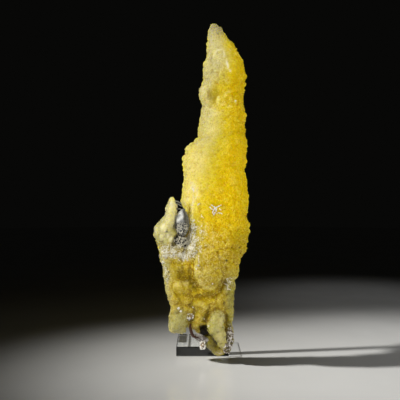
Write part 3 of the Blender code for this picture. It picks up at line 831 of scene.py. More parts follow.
    dim = np.maximum(dim, 0.74 * blob(ue, ve, 179, 321, 11, 14, 0, 0.4))
    # painted glow: the hollows beside the lip painted a brighter, deeper gold, as light shining through
    glow = np.maximum(blob(ue, ve, 188, 269, 6.0, 11, -10, 0.6), blob(ue, ve, 203, 294.5, 15, 5.4, 0, 0.5))
    dim *= 1 - 0.75 * glow
    gold = np.maximum(gold, 0.85 * glow)
    gold = np.maximum(gold, 0.45 * blob(ue, ve, 196, 306, 12, 8, 0, 0.5))
    low *= 1 - 0.45 * glow
    dim = np.maximum(dim, 0.97 * blob(u, v, 211, 345, 10, 13, -30, 0.5))
    # olive: the own colour of the tail and the crust ground, and painted shade in the hollows and under the lip
    olive = 0.70 * blob(ue, ve, 213.6, 94, 4.8, 9, 10, 0.8) * front
    for cu, cv, ru, rv, lean, amount in (
        (185, 277, 10, 7, 0, 0.45),
        (180, 251, 17, 8, 0, 0.50),
        (173.4, 233, 2.4, 7, 0, 0.35),
        (191.6, 279, 4.6, 12, -20, 0.7),
        (206, 297, 14, 4.0, -2, 0.50),
        (222.4, 287, 3, 9, 30, 0.5),
        (200, 312, 12, 3.0, 0, 0.5),
        (206.6, 316, 2.4, 9, 14, 0.8),
        (225.4, 327, 2.4, 12, 6, 0.8),
        (192, 319, 3, 8, 10, 0.6),
        (211, 345, 9, 13, -30, 0.55),
    ):
        olive = np.maximum(olive, amount * blob(ue, ve, cu, cv, ru, rv, lean, 0.6) * front)
    tip = smooth(44, 24, ve) * 0.9
    # pale marks of the stone and painted highlights on the tip, the body and the lobes
    pale_and_highlight = np.zeros(len(p))
    for cu, cv, ru, rv, lean, amount in (
        (215, 53, 1.6, 4.4, 30, 0.85),
        (219.6, 49.4, 3.8, 1.5, -14, 0.85),
        (223.8, 54.0, 1.2, 5.0, 0, 0.75),
        (219.0, 58, 2.6, 3.6, 0, 0.5),
        (227.6, 65, 1.7, 5.0, -12, 1.0),
        (230.3, 71, 1.6, 1.9, 0, 0.8),
        (221.4, 68, 2.4, 5.0, 20, 0.4),
        (226, 79, 3.4, 2.0, -10, 0.3),
        (207.6, 56, 1.8, 6, 18, 0.4),
        (218.0, 100.6, 1.6, 4.4, 14, 0.65),
        (223, 103, 2.8, 2.4, -20, 0.65),
        (231, 99.6, 1.8, 2.4, 0, 0.5),
        (229.6, 106, 2.2, 1.6, -14, 0.7),
        (203, 92, 3.4, 6.0, 0, 0.35),
        (204.6, 102, 3.0, 3.0, 0, 0.4),
        (223.4, 96.4, 2.0, 1.3, -30, 0.5),
        (235.4, 101, 1.3, 1.9, 0, 0.8),
        (229.0, 92, 3.6, 1.4, -20, 0.6),
        (216, 113, 9, 2.4, -8, 0.5),
        (213, 130, 5.5, 8, 10, 0.40),
        (226, 146, 3, 8, 8, 0.25),
        (196, 165, 7, 12, 20, 0.30),
        (194, 187, 4, 4.4, 0, 0.75),
        (196.6, 196, 1.6, 4.6, 22, 0.9),
        (192.4, 203, 1.6, 4.0, 16, 1.0),
        (186.6, 199.6, 2.0, 3.0, 0, 0.6),
        (184.6, 205.0, 1.4, 2.6, 0, 0.6),
        (188.0, 192.0, 1.6, 2.4, 0, 0.5),
        (220, 190, 4, 3, 0, 0.3),
        (233, 180, 3, 5, 0, 0.3),
        (198.4, 262, 2.0, 6, 14, 0.6),
        (196.0, 271, 2.0, 6.0, -6, 0.65),
        (200.6, 281, 2.2, 6.0, -26, 0.5),
        (208, 287, 7.0, 2.4, 0, 0.5),
        (205, 276, 6.0, 8, 0, 0.25),
        (178, 285, 3.0, 2.4, 0, 0.5),
        (185.6, 284.6, 2.4, 2.4, 0, 0.7),
        (201, 304, 3.0, 2.4, 0, 0.5),
        (204.6, 308, 2.6, 2.0, 0, 0.5),
        (209, 326, 1.8, 2.2, 0, 0.8),
        (163.8, 227.6, 2.8, 5.6, 22, 1.0),
        (163.0, 236.4, 2.2, 4.4, 0, 0.9),
        (157.4, 231.0, 1.8, 5.0, 6, 0.75),
        (160.6, 244.6, 2.4, 2.4, 0, 0.5),
        (170.4, 239.0, 1.6, 3.2, 0, 0.9),
        (167.6, 222.0, 2.0, 3.0, 20, 0.6),
        (172.4, 206, 2.6, 7.0, 4, 0.55),
        (191.4, 214, 2.0, 8.0, 0, 0.6),
        (192.0, 227, 2.2, 8.0, 0, 0.7),
        (170.0, 217, 2.0, 6.0, 8, 0.35),
        (171.6, 240, 1.6, 2.6, 0, 0.6),
        (214.0, 321.6, 2.0, 5.0, 14, 0.55),
        (219.6, 322.4, 1.8, 4.6, 14, 0.4),
        (209.4, 326.0, 1.2, 2.0, 0, 0.9),
        (176.0, 318.0, 3.0, 4.0, 0, 0.3),
        (181.6, 312.6, 2.0, 2.0, 0, 0.3),
        (172.6, 326.0, 1.6, 4.0, 0, 0.35),
        (232.4, 312, 1.2, 9, 4, 0.4),
        (218, 334, 1.8, 7, -16, 0.40),
        (212.6, 328.6, 1.6, 3.0, 0, 0.6),
        (188, 170, 4, 9, 10, 0.35),
        (190, 190, 3, 8, 0, 0.35),
    ):
        pale_and_highlight = np.maximum(pale_and_highlight, amount * blob(u + 0.8 * fine, v + 0.8 * fine, cu, cv, ru, rv, lean, 0.6) * front)
    pale_and_highlight *= np.clip(0.75 + 0.5 * fine, 0, 1)
    dim = np.clip(dim * (1 - 0.65 * pale_and_highlight), 0, 1)
    # white crust patches, and painted highlights on the left lobe
    white = np.zeros(len(p))
    for cu, cv, ru, rv, lean, amount in (
        (176, 253, 11, 7, 0, 0.18),
        (162.5, 262, 2.6, 20, 8, 0.55),
        (190, 258, 6, 5, 0, 0.10),
        (228.5, 286, 2.0, 5, 20, 0.30),
        (163.6, 227.0, 1.5, 4.4, 22, 1.0),
        (162.6, 236.0, 1.1, 2.6, 0, 0.8),
        (180, 252, 17, 9, 0, 0.34),
    ):
        white = np.maximum(white, amount * blob(ue, ve, cu, cv, ru, rv, lean))
    white *= front * np.clip(0.35 + 0.8 * fine + 0.5 * (tone - 0.5), 0, 1)
    # painted highlights: glints and bright strokes on the tip, the body, the finger and the left lobe
    for cu, cv, ru, rv, lean, amount in ((227.4, 64.6, 0.9, 4.0, -12, 1.0), (229.8, 70.6, 0.8, 1.2, 0, 0.7), (218.6, 49.6, 2.6, 0.7, -14, 0.6), (215.0, 53.2, 0.8, 3.4, 30, 0.6), (223.9, 54.4, 0.7, 3.6, 0, 0.45), (235.2, 101.4, 0.8, 1.0, 0, 0.35), (192.2, 203.0, 0.8, 3.0, 16, 0.6), (196.4, 195.6, 0.7, 3.0, 22, 0.45), (163.0, 226.4, 1.1, 3.4, 24, 0.95), (161.4, 236.0, 0.8, 2.6, 0, 0.75), (170.6, 238.6, 1.0, 2.4, 10, 0.95), (165.2, 230.6, 1.0, 1.2, 0, 0.6), (156.6, 230.4, 0.7, 2.6, 10, 0.45), (193.4, 187.6, 2.8, 3.2, 0, 0.34), (197.0, 190.4, 1.1, 3.0, 20, 0.32), (191.0, 182.6, 1.5, 1.9, 0, 0.28), (193.0, 197.0, 1.0, 3.0, 10, 0.38), (187.0, 198.6, 1.2, 1.8, 0, 0.34), (185.0, 204.6, 0.9, 1.6, 0, 0.3), (171.6, 207.0, 0.7, 3.0, 8, 0.4), (167.6, 235.6, 1.0, 2.2, 0, 0.7), (170.2, 240.4, 0.9, 1.4, 0, 0.6), (172.0, 203.0, 0.8, 2.6, 6, 0.5)):
        white = np.maximum(white, amount * blob(u + 0.5 * fine, v + 0.5 * fine, cu, cv, ru, rv, lean, 0.5) * front)
    # dark spots and the black crust under the spindle, and painted shade in the gap beside the spindle, the hollows,
    # the opening above the tail and between the crystals
    dark_spot_and_shade = 1.0 * blob(ue, ve, 180.4, 240.4, 7.6, 6.6, 0, 0.35) * front
    dark_spot_and_shade = np.maximum(dark_spot_and_shade, 0.14 * blob(ue, ve, 187.6, 245, 4.0, 6, -8, 0.5) * front)
    dark_spot_and_shade = np.maximum(dark_spot_and_shade, 0.5 * blob(u, v, 174.6, 222, 1.1, 9, 4, 0.5) * front)
    dark_spot_and_shade = np.maximum(dark_spot_and_shade, 0.7 * blob(u, v, 173.6, 243, 1.8, 4.4, 20, 0.6) * front)
    dark_spot_and_shade = np.maximum(dark_spot_and_shade, 0.75 * blob(ue, ve, 228.6, 341, 4.0, 13.0, 4, 0.4) * front)
    dark_spot_and_shade = np.maximum(dark_spot_and_shade, blob(u, v, 203.5, 331, 4.6, 4.0, -20, 0.4) * front)
    dark_spot_and_shade = np.maximum(dark_spot_and_shade, 0.34 * blob(u, v, 211, 345, 8, 12, -30, 0.4) * front)
    dark_spot_and_shade = np.maximum(dark_spot_and_shade, 0.85 * blob(u, v, 214.6, 340.0, 1.6, 8.0, -36, 0.6) * front)
    for cu, cv, r, amount in (
        (212.4, 338.6, 1.1, 0.9), (217.0, 343.6, 1.3, 0.9), (219.6, 347.4, 1.2, 0.85),
        (213.6, 346.0, 1.0, 0.7), (210.4, 342.0, 0.9, 0.6), (216.2, 350.6, 1.0, 0.7),
        (226, 260, 1.0, 0.9), (216, 221, 0.7, 0.5), (240, 248, 1.0, 0.8),
        (169.4, 272, 1.0, 0.9), (166.6, 268.4, 0.7, 0.7), (168.4, 279.0, 0.8, 0.8), (165.0, 262.6, 0.7, 0.6),
        (167.4, 284.0, 0.7, 0.6), (171.0, 264.0, 0.6, 0.5), (166.0, 275.4, 0.6, 0.6), (170.0, 290.0, 0.7, 0.5),
        (167.0, 231.6, 1.1, 0.75), (218.2, 33.4, 1.0, 0.5),
        (224.6, 318, 0.9, 0.6), (225.6, 322.6, 0.9, 0.6), (188, 281, 0.8, 0.4), *dark_dots,
    ):
        dark_spot_and_shade = np.maximum(dark_spot_and_shade, amount * blob(u, v, cu, cv, r, r, 0, 0.6) * front)
    for name, values in (
        ("cream", cream),
        ("gold", gold),
        ("low", low),
        ("green", green),
        ("olive", olive),
        ("tip", tip),
        ("proud", proud),
        ("sunk", sunk),
        ("pale_and_highlight", pale_and_highlight),
        ("tone", tone),
        ("white", white),
        ("dark_spot_and_shade", dark_spot_and_shade),
        ("crease", crease),
        ("grit", grit),
        ("deep", deep),
        ("dim", dim),
    ):
        write_mask(mesh, name, values)


growth_mesh = grow()
skin(growth_mesh)
growth_mesh.shade_smooth()
growth = new_object("brucite_growth", growth_mesh)
growth.data.materials.append(brucite_material("brucite_skin", 0.90, 0.0090))
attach(growth, "root")
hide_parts("brucite_specimen")
print("growth triangles:", sum(len(f.vertices) - 2 for f in growth_mesh.polygons))


# ---------------------------------------------------------- minor minerals
ground = BVHTree.FromPolygons(
    [v.co for v in growth_mesh.vertices], [tuple(f.vertices) for f in growth_mesh.polygons]
)
chance = random.Random(71)


def hit(u, v, tree=None):
    """The point of the growth's front at a place on the sheet, with its normal."""
    aim_at = at(u, v, -60.0)
    where, normal, _, _ = (tree or ground).ray_cast(aim_at, (aim_at - EYE).normalized(), 0.12)
    return where, normal


def tube(bm, points, radii, sides=5, flat=1.0):
    """A closed tube through the points; flat squeezes it across the view."""
    rings = []
    for i, p in enumerate(points):
        ahead = points[min(i + 1, len(points) - 1)] - points[max(i - 1, 0)]
        if ahead.length < 1e-9:
            ahead = Vector((1, 0, 0))
        ahead.normalize()
        side = ahead.cross(Vector((0, 1, 0)))
        if side.length < 1e-3:
            side = Vector((1, 0, 0))
        side.normalize()
        up = side.cross(ahead)
        ring = []
        for j in range(sides):
            t = 2 * math.pi * j / sides
            ring.append(bm.verts.new(p + radii[i] * (math.cos(t) * side + flat * math.sin(t) * up)))
        rings.append(ring)
    for a, b in zip(rings, rings[1:]):
        for j in range(sides):
            k = (j + 1) % sides
            bm.faces.new((a[j], b[j], b[k], a[k]))
    bm.faces.new(rings[0])
    bm.faces.new(rings[-1][::-1])


def closed_tube(bm, points, radii, sides=10):
    """A ring: a tube whose last station joins its first."""
    count = len(points)
    rings = []
    for i, p in enumerate(points):
        ahead = (points[(i + 1) % count] - points[i - 1]).normalized()
        up = Vector((0, 1, 0))
        up = (up - up.dot(ahead) * ahead).normalized()
        side = ahead.cross(up)
        rings.append(
            [
                bm.verts.new(p + radii[i] * (math.cos(t) * side + math.sin(t) * up))
                for t in (2 * math.pi * j / sides for j in range(sides))
            ]
        )
    for i in range(count):
        a, b = rings[i], rings[(i + 1) % count]
        for j in range(sides):
            k = (j + 1) % sides
            bm.faces.new((a[j], b[j], b[k], a[k]))


def finish_piece(bm, name, material, smooth_shading=True):
    bmesh.ops.recalc_face_normals(bm, faces=bm.faces)
    mesh = bpy.data.meshes.new(name)
    bm.to_mesh(mesh)
    bm.free()
    if smooth_shading:
        mesh.shade_smooth()
    piece = new_object(name, mesh)
    mesh.materials.append(material)
    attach(piece, "root")
    return piece


def rumple(bm, size, amount, seed):
    """Push every vertex along its normal by noise."""
    bm.normal_update()
    shift = Vector((seed, 2.7 * seed, 5.1 * seed))
    for vert in bm.verts:
        vert.co += vert.normal * amount * noise.fractal(vert.co / size + shift, 0.9, 2.1, 3)


def white_material(name, colour, rough):
    n = Nodes(name)
    tone = n.mix(n.ramp(n.noise(900, 3), 0.3, 0.7), tuple(0.80 * c for c in colour), colour)
    n.link(tone, n.shader.inputs["Base Color"])
    n.link(n.ramp(n.noise(1400, 3), 0.3, 0.7, rough, rough + 0.2), n.shader.inputs["Roughness"])
    n.link(n.bump(n.noise(2600, 3, 0.6), 0.0003, 0.5), n.shader.inputs["Normal"])
    return n.mat


def spindle():
    """Grey matrix sliver between the finger and the body, with one ridge."""
    rows = [
        # row, left, ridge, right, ridge y, side y
        (208.6, 183.2, 183.7, 184.3, -26.0, -25.0),
        (210.0, 181.0, 183.5, 185.2, -27.0, -25.1),
        (212.5, 178.2, 183.2, 186.6, -27.9, -25.3),
        (215.5, 175.8, 183.0, 187.9, -28.8, -25.5),
        (219.0, 174.2, 183.0, 189.0, -29.6, -25.7),
        (223.0, 173.6, 183.4, 189.6, -30.2, -25.9),
        (227.0, 173.8, 183.4, 189.4, -30.4, -26.1),
        (230.5, 174.8, 183.0, 188.6, -30.4, -26.1),
        (233.5, 176.8, 182.6, 187.0, -30.0, -26.1),
        (235.8, 179.4, 182.2, 184.8, -29.0, -26.0),
        (236.8, 181.2, 182.0, 182.9, -27.8, -25.8),
    ]
    bm = bmesh.new()
    rings = []
    for row, left, ridge, right, ridge_y, side_y in rows:
        middle = 0.5 * (left + right)
        ring = [
            at(left, row, side_y),
            at(left + 0.35 * (ridge - left), row, side_y + 0.62 * (ridge_y - side_y)),
            at(left + 0.72 * (ridge - left), row, side_y + 0.93 * (ridge_y - side_y)),
            at(ridge, row, ridge_y),
            at(ridge + 0.35 * (right - ridge), row, side_y + 0.76 * (ridge_y - side_y)),
            at(ridge + 0.75 * (right - ridge), row, side_y + 0.40 * (ridge_y - side_y)),
            at(right, row, side_y),
            at(middle + 0.3 * (right - left), row, side_y + 3.0),
            at(middle, row, side_y + 4.2),
            at(middle - 0.3 * (right - left), row, side_y + 3.0),
        ]
        rings.append([bm.verts.new(q) for q in ring])
    for a, b in zip(rings, rings[1:]):
        for j in range(10):
            k = (j + 1) % 10
            bm.faces.new((a[j], b[j], b[k], a[k]))
    bm.faces.new(rings[0])
    bm.faces.new(rings[-1][::-1])
    bmesh.ops.subdivide_edges(bm, edges=bm.edges, cuts=3, use_grid_fill=True, smooth=0.35)
    bmesh.ops.recalc_face_normals(bm, faces=bm.faces)
    rumple(bm, 0.0013, 0.00034, 3)
    rumple(bm, 0.0005, 0.00016, 8)
    n = Nodes("grey_matrix")
    # painted light and shade: silvery on the facet left of the ridge, dark on the facet right of it
    tone = n.mix(n.ramp(n.noise(330, 3, 0.55, 0.4), 0.30, 0.70), (0.26, 0.27, 0.27), (0.84, 0.85, 0.81))
    shady = n.mix(n.ramp(n.noise(520, 3, 0.6, 0.6), 0.36, 0.66), (0.016, 0.016, 0.015), (0.13, 0.133, 0.13))
    tone = n.mix(n.mask("shady"), tone, shady)
    flecked = n.mask("flecked")
    tone = n.mix(n.ramp(flecked, 0.2, 0.9, 0.0, 0.75), tone, (0.10, 0.10, 0.098))
    dark = n.math("MULTIPLY", n.ramp(n.noise(1000, 3, 0.7), 0.60, 0.48), flecked)
    tone = n.mix(dark, tone, (0.015, 0.015, 0.014))
    fleck = n.math("MULTIPLY", n.ramp(n.noise(1900, 3, 0.7), 0.57, 0.64), n.ramp(flecked, 0.0, 1.0, 0.06, 0.95))
    tone = n.mix(fleck, tone, (0.78, 0.78, 0.74))
    n.link(tone, n.shader.inputs["Base Color"])
    n.link(n.ramp(n.noise(800, 3), 0.3, 0.7, 0.38, 0.62), n.shader.inputs["Roughness"])
    n.link(n.bump(n.noise(1500, 3, 0.6), 0.0005, 0.5), n.shader.inputs["Normal"])
    n.set(Specular_IOR_Level=0.8)
    piece = finish_piece(bm, "matrix_spindle", n.mat)
    piece.visible_shadow = False
    points = coords(piece.data)
    u, v = sheet_of(points)
    # painted shade on the facet right of the ridge
    write_mask(piece.data, "shady", smooth(181.6, 184.8, u + 1.6 * turbulence(points, 0.0022, 2, 6)) * 0.92)
    write_mask(piece.data, "flecked", smooth(216, 230, v + 5 * turbulence(points, 0.003, 2, 5)) * 0.95 + 0.05)
    return piece


def splinters():
    """Thin grey plates in the notch above the spindle."""
    bm = bmesh.new()
    for points, width in (
        ([(174.6, 200.8, -23.5), (178.0, 201.8, -23.0), (181.4, 203.6, -22.4)], 0.00038),
        ([(175.4, 203.6, -24.0), (178.2, 204.2, -23.6), (181.6, 206.4, -23.2)], 0.00030),
        ([(176.4, 209.0, -24.6), (179.6, 208.8, -24.4), (182.4, 209.8, -24.2)], 0.00032),
    ):
        tube(bm, [at(*q) for q in points], [width, width * 1.2, width], 6, 0.4)
    rumple(bm, 0.0009, 0.00012, 4)
    return finish_piece(bm, "notch_splinters", white_material("grey_splinter", (0.24, 0.24, 0.22), 0.35))


def threads(matrix):
    """White encrusting filigree: short crooked threads laid over the skin."""
    bm = bmesh.new()
    mesh = matrix.data
    rock = BVHTree.FromPolygons([v.co for v in mesh.vertices], [tuple(f.vertices) for f in mesh.polygons])
    zones = [
        # centre, half sizes, count, thickness in mm
        (181, 241.5, 6.5, 5.5, 60, 0.18),
        (190.5, 243, 5, 12, 130, 0.20),
        (192.5, 229, 2.6, 9, 56, 0.19),
        (184, 252, 12, 8, 150, 0.19),
        (169, 252, 9, 6, 70, 0.18),
        (162.0, 258, 2.0, 16, 46, 0.20),
        (197, 250, 5, 14, 40, 0.15),
        (201, 238, 6, 14, 34, 0.12),
        (166, 277, 2.4, 12, 26, 0.18),
        (202, 222, 8, 8, 10, 0.12),
        (228.5, 284, 1.6, 7, 12, 0.17),
        (165, 283, 2.0, 12, 16, 0.17),
    ]
    on_rock = [(181.4, 229.4, 6.4, 6.6, 36, 0.11)]
    fine_web = [(206, 238, 11, 15, 120, 0.085), (218, 248, 12, 16, 120, 0.075), (206, 268, 10, 16, 110, 0.08), (222, 272, 8, 12, 40, 0.075), (190, 200, 6, 14, 40, 0.08)]
    web = bmesh.new()
    for into, tree, table in ((bm, None, zones), (bm, rock, on_rock), (web, None, fine_web)):
        for cu, cv, ru, rv, count, thick in table:
            for _ in range(count):
                turn, out = 2 * math.pi * chance.random(), math.sqrt(chance.random())
                u, v = cu + ru * out * math.cos(turn), cv + rv * out * math.sin(turn)
                heading = 2 * math.pi * chance.random()
                bend = chance.uniform(-0.9, 0.9)
                path = []
                for _ in range(chance.randint(4, 8)):
                    where, normal = hit(u, v, tree)
                    if where is None or where.y > -0.010:
                        break
                    path.append(where + normal * thick * MM * chance.uniform(0.1, 0.8))
                    heading += bend + chance.uniform(-0.7, 0.7)
                    u += 0.58 * math.cos(heading)
                    v += 0.58 * math.sin(heading)
                if len(path) < 3:
                    continue
                if max((a - b).length for a, b in zip(path, path[1:])) > 0.0016:
                    continue
                half = thick * chance.uniform(0.60, 1.20) * MM
                radii = [half * (0.45 + 0.75 * math.sin(math.pi * (i + 0.6) / (len(path) + 0.2))) for i in range(len(path))]
                tube(into, path, radii, 5)
    finish_piece(web, "pale_web", white_material("pale_yellow_web", (0.80, 0.70, 0.32), 0.35)).visible_shadow = False
    return finish_piece(bm, "white_filigree", white_material("white_crust", (1.0, 0.96, 0.80), 0.40))


def scratches():
    """Fine white strokes that cross the middle of the body."""
    bm = bmesh.new()
    strokes = [
        [(211.0, 204.6), (213.4, 206.4), (215.8, 208.4), (216.4, 211.6)],
        [(213.6, 210.4), (215.4, 208.2), (218.0, 206.6), (221.6, 204.8)],
        [(213.4, 206.8), (215.6, 207.4), (216.6, 209.8), (215.2, 211.2)],
        [(214.4, 209.0), (212.4, 211.8), (213.0, 214.4)],
        [(219.4, 209.0), (221.4, 210.4)],
        [(215.0, 212.0), (213.8, 215.4)],
        [(216.0, 213.4), (219.4, 213.0), (222.6, 214.2)],
        [(209.4, 207.0), (212.4, 209.4)],
        [(192.6, 188.0), (194.2, 192.2)],
        [(197.0, 205.4), (199.6, 203.2)],
    ]
    for stroke in strokes:
        path = []
        for (u0, v0), (u1, v1) in zip(stroke, stroke[1:]):
            steps = max(2, int(math.hypot(u1 - u0, v1 - v0) / 0.8))
            for i in range(steps + 1):
                t = i / steps
                where, normal = hit(
                    u0 + t * (u1 - u0) + chance.uniform(-0.3, 0.3),
                    v0 + t * (v1 - v0) + chance.uniform(-0.3, 0.3),
                )
                path.append(where + normal * 0.00006)
        radii = [0.00030 * chance.uniform(0.45, 1.4) for _ in path]
        tube(bm, path, radii, 5)
    return finish_piece(bm, "white_strokes", white_material("white_stroke", (0.97, 0.95, 0.92), 0.4))


def crystal(bm, centre, size, chance):
    """A stubby six-sided crystal with two pointed ends."""
    turn = Matrix.Rotation(chance.uniform(0, math.pi), 3, "X") @ Matrix.Rotation(
        chance.uniform(0, math.pi), 3, "Z"
    )
    long = size * chance.uniform(0.8, 1.6)
    low = [Vector((size * math.cos(t), size * math.sin(t), -0.4 * long)) for t in (math.pi * j / 3 for j in range(6))]
    top = [Vector((0.92 * q.x, 0.92 * q.y, 0.4 * long)) for q in low]
    a = [bm.verts.new(centre + turn @ q) for q in low]
    b = [bm.verts.new(centre + turn @ q) for q in top]
    ends = [bm.verts.new(centre + turn @ Vector((0, 0, z))) for z in (-long, long)]
    for j in range(6):
        k = (j + 1) % 6
        bm.faces.new((a[j], a[k], b[k], b[j]))
        bm.faces.new((a[k], a[j], ends[0]))
        bm.faces.new((b[j], b[k], ends[1]))


def crystals():
    bm = bmesh.new()
    for cu, cv, ru, rv, count, low, high in (
        (229.8, 338, 2.8, 10, 80, 0.25, 0.72),
        (227.4, 348.0, 4.0, 4.4, 52, 0.25, 0.75),
        (230.4, 327, 1.8, 5, 16, 0.20, 0.45),
        (225.0, 351.0, 2.2, 1.8, 12, 0.35, 0.65),
        (219.0, 352.4, 4.0, 2.0, 12, 0.15, 0.32),
    ):
        for _ in range(count):
            turn, out = 2 * math.pi * chance.random(), math.sqrt(chance.random())
            u, v = cu + ru * out * math.cos(turn), cv + rv * out * math.sin(turn)
            where, normal = hit(u, v)
            if where is None or where.y > -0.018:
                continue
            size = chance.uniform(low, high) * MM
            crystal(bm, where + normal * size * chance.uniform(0.0, 0.8), size, chance)
    n = Nodes("glassy_crystal")
    spread = n.noise(620, 2)
    tone = n.mix(n.ramp(spread, 0.44, 0.58), (0.16, 0.115, 0.075), (0.90, 0.86, 0.82))
    n.link(tone, n.shader.inputs["Base Color"])
    n.link(n.ramp(n.noise(900, 3), 0.3, 0.7, 0.08, 0.24), n.shader.inputs["Roughness"])
    n.set(Transmission_Weight=0.20, IOR=1.58, Specular_IOR_Level=0.8)
    return finish_piece(bm, "glassy_crystals", n.mat, False)


def grains():
    """Sugary grains standing on the skin, coloured like the place they sit on."""
    ball = bmesh.new()
    bmesh.ops.create_icosphere(ball, subdivisions=1, radius=1.0)
    shape = np.array([v.co[:] for v in ball.verts])
    faces = np.array([[v.index for v in f.verts] for f in ball.faces])
    ball.free()
    points, ups = coords(growth_mesh), normals(growth_mesh)
    u, v = sheet_of(points)
    rng = np.random.default_rng(5)
    count = 8400
    wish = np.interp(v, [20, 60, 100, 130, 200, 225, 250, 262, 285, 330, 352], [0.2, 0.4, 0.4, 0.2, 0.25, 0.8, 1.1, 1.0, 0.6, 0.6, 0.3])
    wish = np.maximum(wish, 0.8 * (u < 176) * (v > 242) * (v < 300))
    wish = np.maximum(wish, 1.2 * blob(u, v, 208, 270, 16, 23, 0, 0.3))
    picked = rng.choice(len(points), count, replace=False, p=wish / wish.sum())
    clear = (points[picked, 1] < BLOCK_FRONT - 0.0016) | (points[picked, 2] > 0.012)
    rod_y = -0.0102 + 0.2126 * (points[picked, 2] - 0.002)
    rod_near = np.hypot(points[picked, 0] - 0.0085, points[picked, 1] - rod_y) < 0.0050
    picked = picked[clear & ~(rod_near & (points[picked, 2] < 0.110))]
    sizes = rng.uniform(0.00022, 0.00052, len(picked))
    verts, tris = [], []
    lift = 0.05
    for i, (at_vertex, size) in enumerate(zip(picked, sizes)):
        lumpy = shape * size * (1 + 0.22 * rng.standard_normal((len(shape), 1)))
        verts.append(points[at_vertex] + ups[at_vertex] * size * lift + lumpy)
        tris.append(faces + i * len(shape))
    mesh = bpy.data.meshes.new("skin_grains")
    mesh.from_pydata(np.concatenate(verts).tolist(), [], np.concatenate(tris).tolist())
    mesh.shade_smooth()
    for name in ("cream", "gold", "low", "green", "olive", "tip", "pale_and_highlight", "white", "dark_spot_and_shade", "grit", "deep", "dim"):
        values = np.empty(len(growth_mesh.vertices), dtype=np.float32)
        growth_mesh.attributes[name].data.foreach_get("value", values)
        write_mask(mesh, name, np.repeat(values[picked], len(shape)))
    write_mask(mesh, "tone", np.repeat(rng.random(len(picked)), len(shape)))
    write_mask(mesh, "proud", np.full(len(picked) * len(shape), 0.5))
    for name in ("sunk", "crease"):
        write_mask(mesh, name, np.zeros(len(picked) * len(shape)))
    piece = new_object("skin_grains", mesh)
    mesh.materials.append(brucite_material("brucite_grain", 0.60, 0.0010))
    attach(piece, "root")
    piece.visible_shadow = False
    return piece


def ring_beads():
    """Two small white rings: one on the lower left, one hanging at the tail."""
    bm = bmesh.new()
    where, normal = hit(190.2, 316.2)
    for i in range(12):
        t = 2 * math.pi * (i + chance.uniform(-0.45, 0.45)) / 12
        out = chance.uniform(0.70, 1.25)
        spot_at = where + out * Vector((0.00175 * math.cos(t), 0, 0.00140 * math.sin(t))) + Vector((0, -0.0005, 0))
        size = chance.uniform(0.22, 0.60) * MM * (1.5 if math.sin(t) < -0.2 and math.cos(t) < 0 else 1.0)
        bmesh.ops.create_icosphere(bm, subdivisions=2, radius=size, matrix=Matrix.Translation(spot_at))
    middle = at(202.6, 345.4, -26.4)
    for i in range(15):
        t = 2 * math.pi * (i + chance.uniform(-0.25, 0.25)) / 15
        c, s_ = math.cos(t), math.sin(t)
        x = 0.00125 * math.copysign(abs(c) ** 0.45, c)
        z = 0.00215 * math.copysign(abs(s_) ** 0.45, s_)
        spot_at = middle + chance.uniform(0.88, 1.08) * Vector((x, 0, z)) + Vector((0, chance.uniform(-0.0003, 0.0003), 0))
        bmesh.ops.create_icosphere(bm, subdivisions=2, radius=chance.uniform(0.46, 0.74) * MM, matrix=Matrix.Translation(spot_at))
    for du, dv, r in ((0.2, -0.6, 0.00042), (-0.5, 1.9, 0.00036)):
        bmesh.ops.create_icosphere(bm, subdivisions=2, radius=r, matrix=Matrix.Translation(at(202.6 + du, 345.4 + dv, -26.9)))
    for u, v, r in (
        (178.4, 308.0, 0.00078), (181.0, 311.2, 0.00070), (187.6, 317.6, 0.0006), (189.0, 319.4, 0.0005),
        (212.6, 283.4, 0.00045), (198.4, 265.2, 0.0005), (196.4, 269.0, 0.00045), (193.0, 307.0, 0.0004),
        (204.0, 318.6, 0.0004), (209.0, 326.0, 0.0005), (235.4, 101.0, 0.0005),
    ):
        where, normal = hit(u, v)
        bmesh.ops.create_icosphere(bm, subdivisions=2, radius=r, matrix=Matrix.Translation(where + normal * 0.5 * r))
    rumple(bm, 0.0008, 0.00024, 6)
    return finish_piece(bm, "white_rings", white_material("white_ring", (0.90, 0.87, 0.80), 0.35))


def bead_core():
    """What shows inside the two rings."""
    bm = bmesh.new()
    where, normal = hit(190.2, 316.2)
    for centre, sx, sz in ((at(202.6, 345.4, -26.3), 0.0012, 0.0020), (where, 0.0015, 0.0012)):
        bmesh.ops.create_icosphere(
            bm, subdivisions=3, radius=1.0,
            matrix=Matrix.Translation(centre) @ Matrix.Diagonal((sx, 0.0005, sz, 1)),
        )
    rumple(bm, 0.0006, 0.00012, 9)
    n = Nodes("brown_core")
    tone = n.mix(n.ramp(n.noise(1100, 3, 0.6), 0.42, 0.55), (0.045, 0.030, 0.022), (0.42, 0.30, 0.17))
    n.link(tone, n.shader.inputs["Base Color"])
    n.link(n.ramp(n.noise(1400, 3), 0.3, 0.7, 0.35, 0.6), n.shader.inputs["Roughness"])
    n.link(n.bump(n.noise(2600, 3, 0.6), 0.0003, 0.5), n.shader.inputs["Normal"])
    return finish_piece(bm, "ring_core", n.mat)


def cavity():
    """The dark opening above the tail: a near-black lump, painted shade deep in the opening."""
    bm = bmesh.new()
    bmesh.ops.create_icosphere(
        bm, subdivisions=4, radius=1.0,
        matrix=Matrix.Translation(at(203.6, 331.6, -24.6)) @ Matrix.Rotation(math.radians(20), 4, "Y")
        @ Matrix.Diagonal((0.0026, 0.0012, 0.0021, 1)),
    )
    rumple(bm, 0.0012, 0.00035, 12)
    return finish_piece(bm, "dark_cavity", white_material("cavity_painted_shade", (0.012, 0.009, 0.007), 0.7))


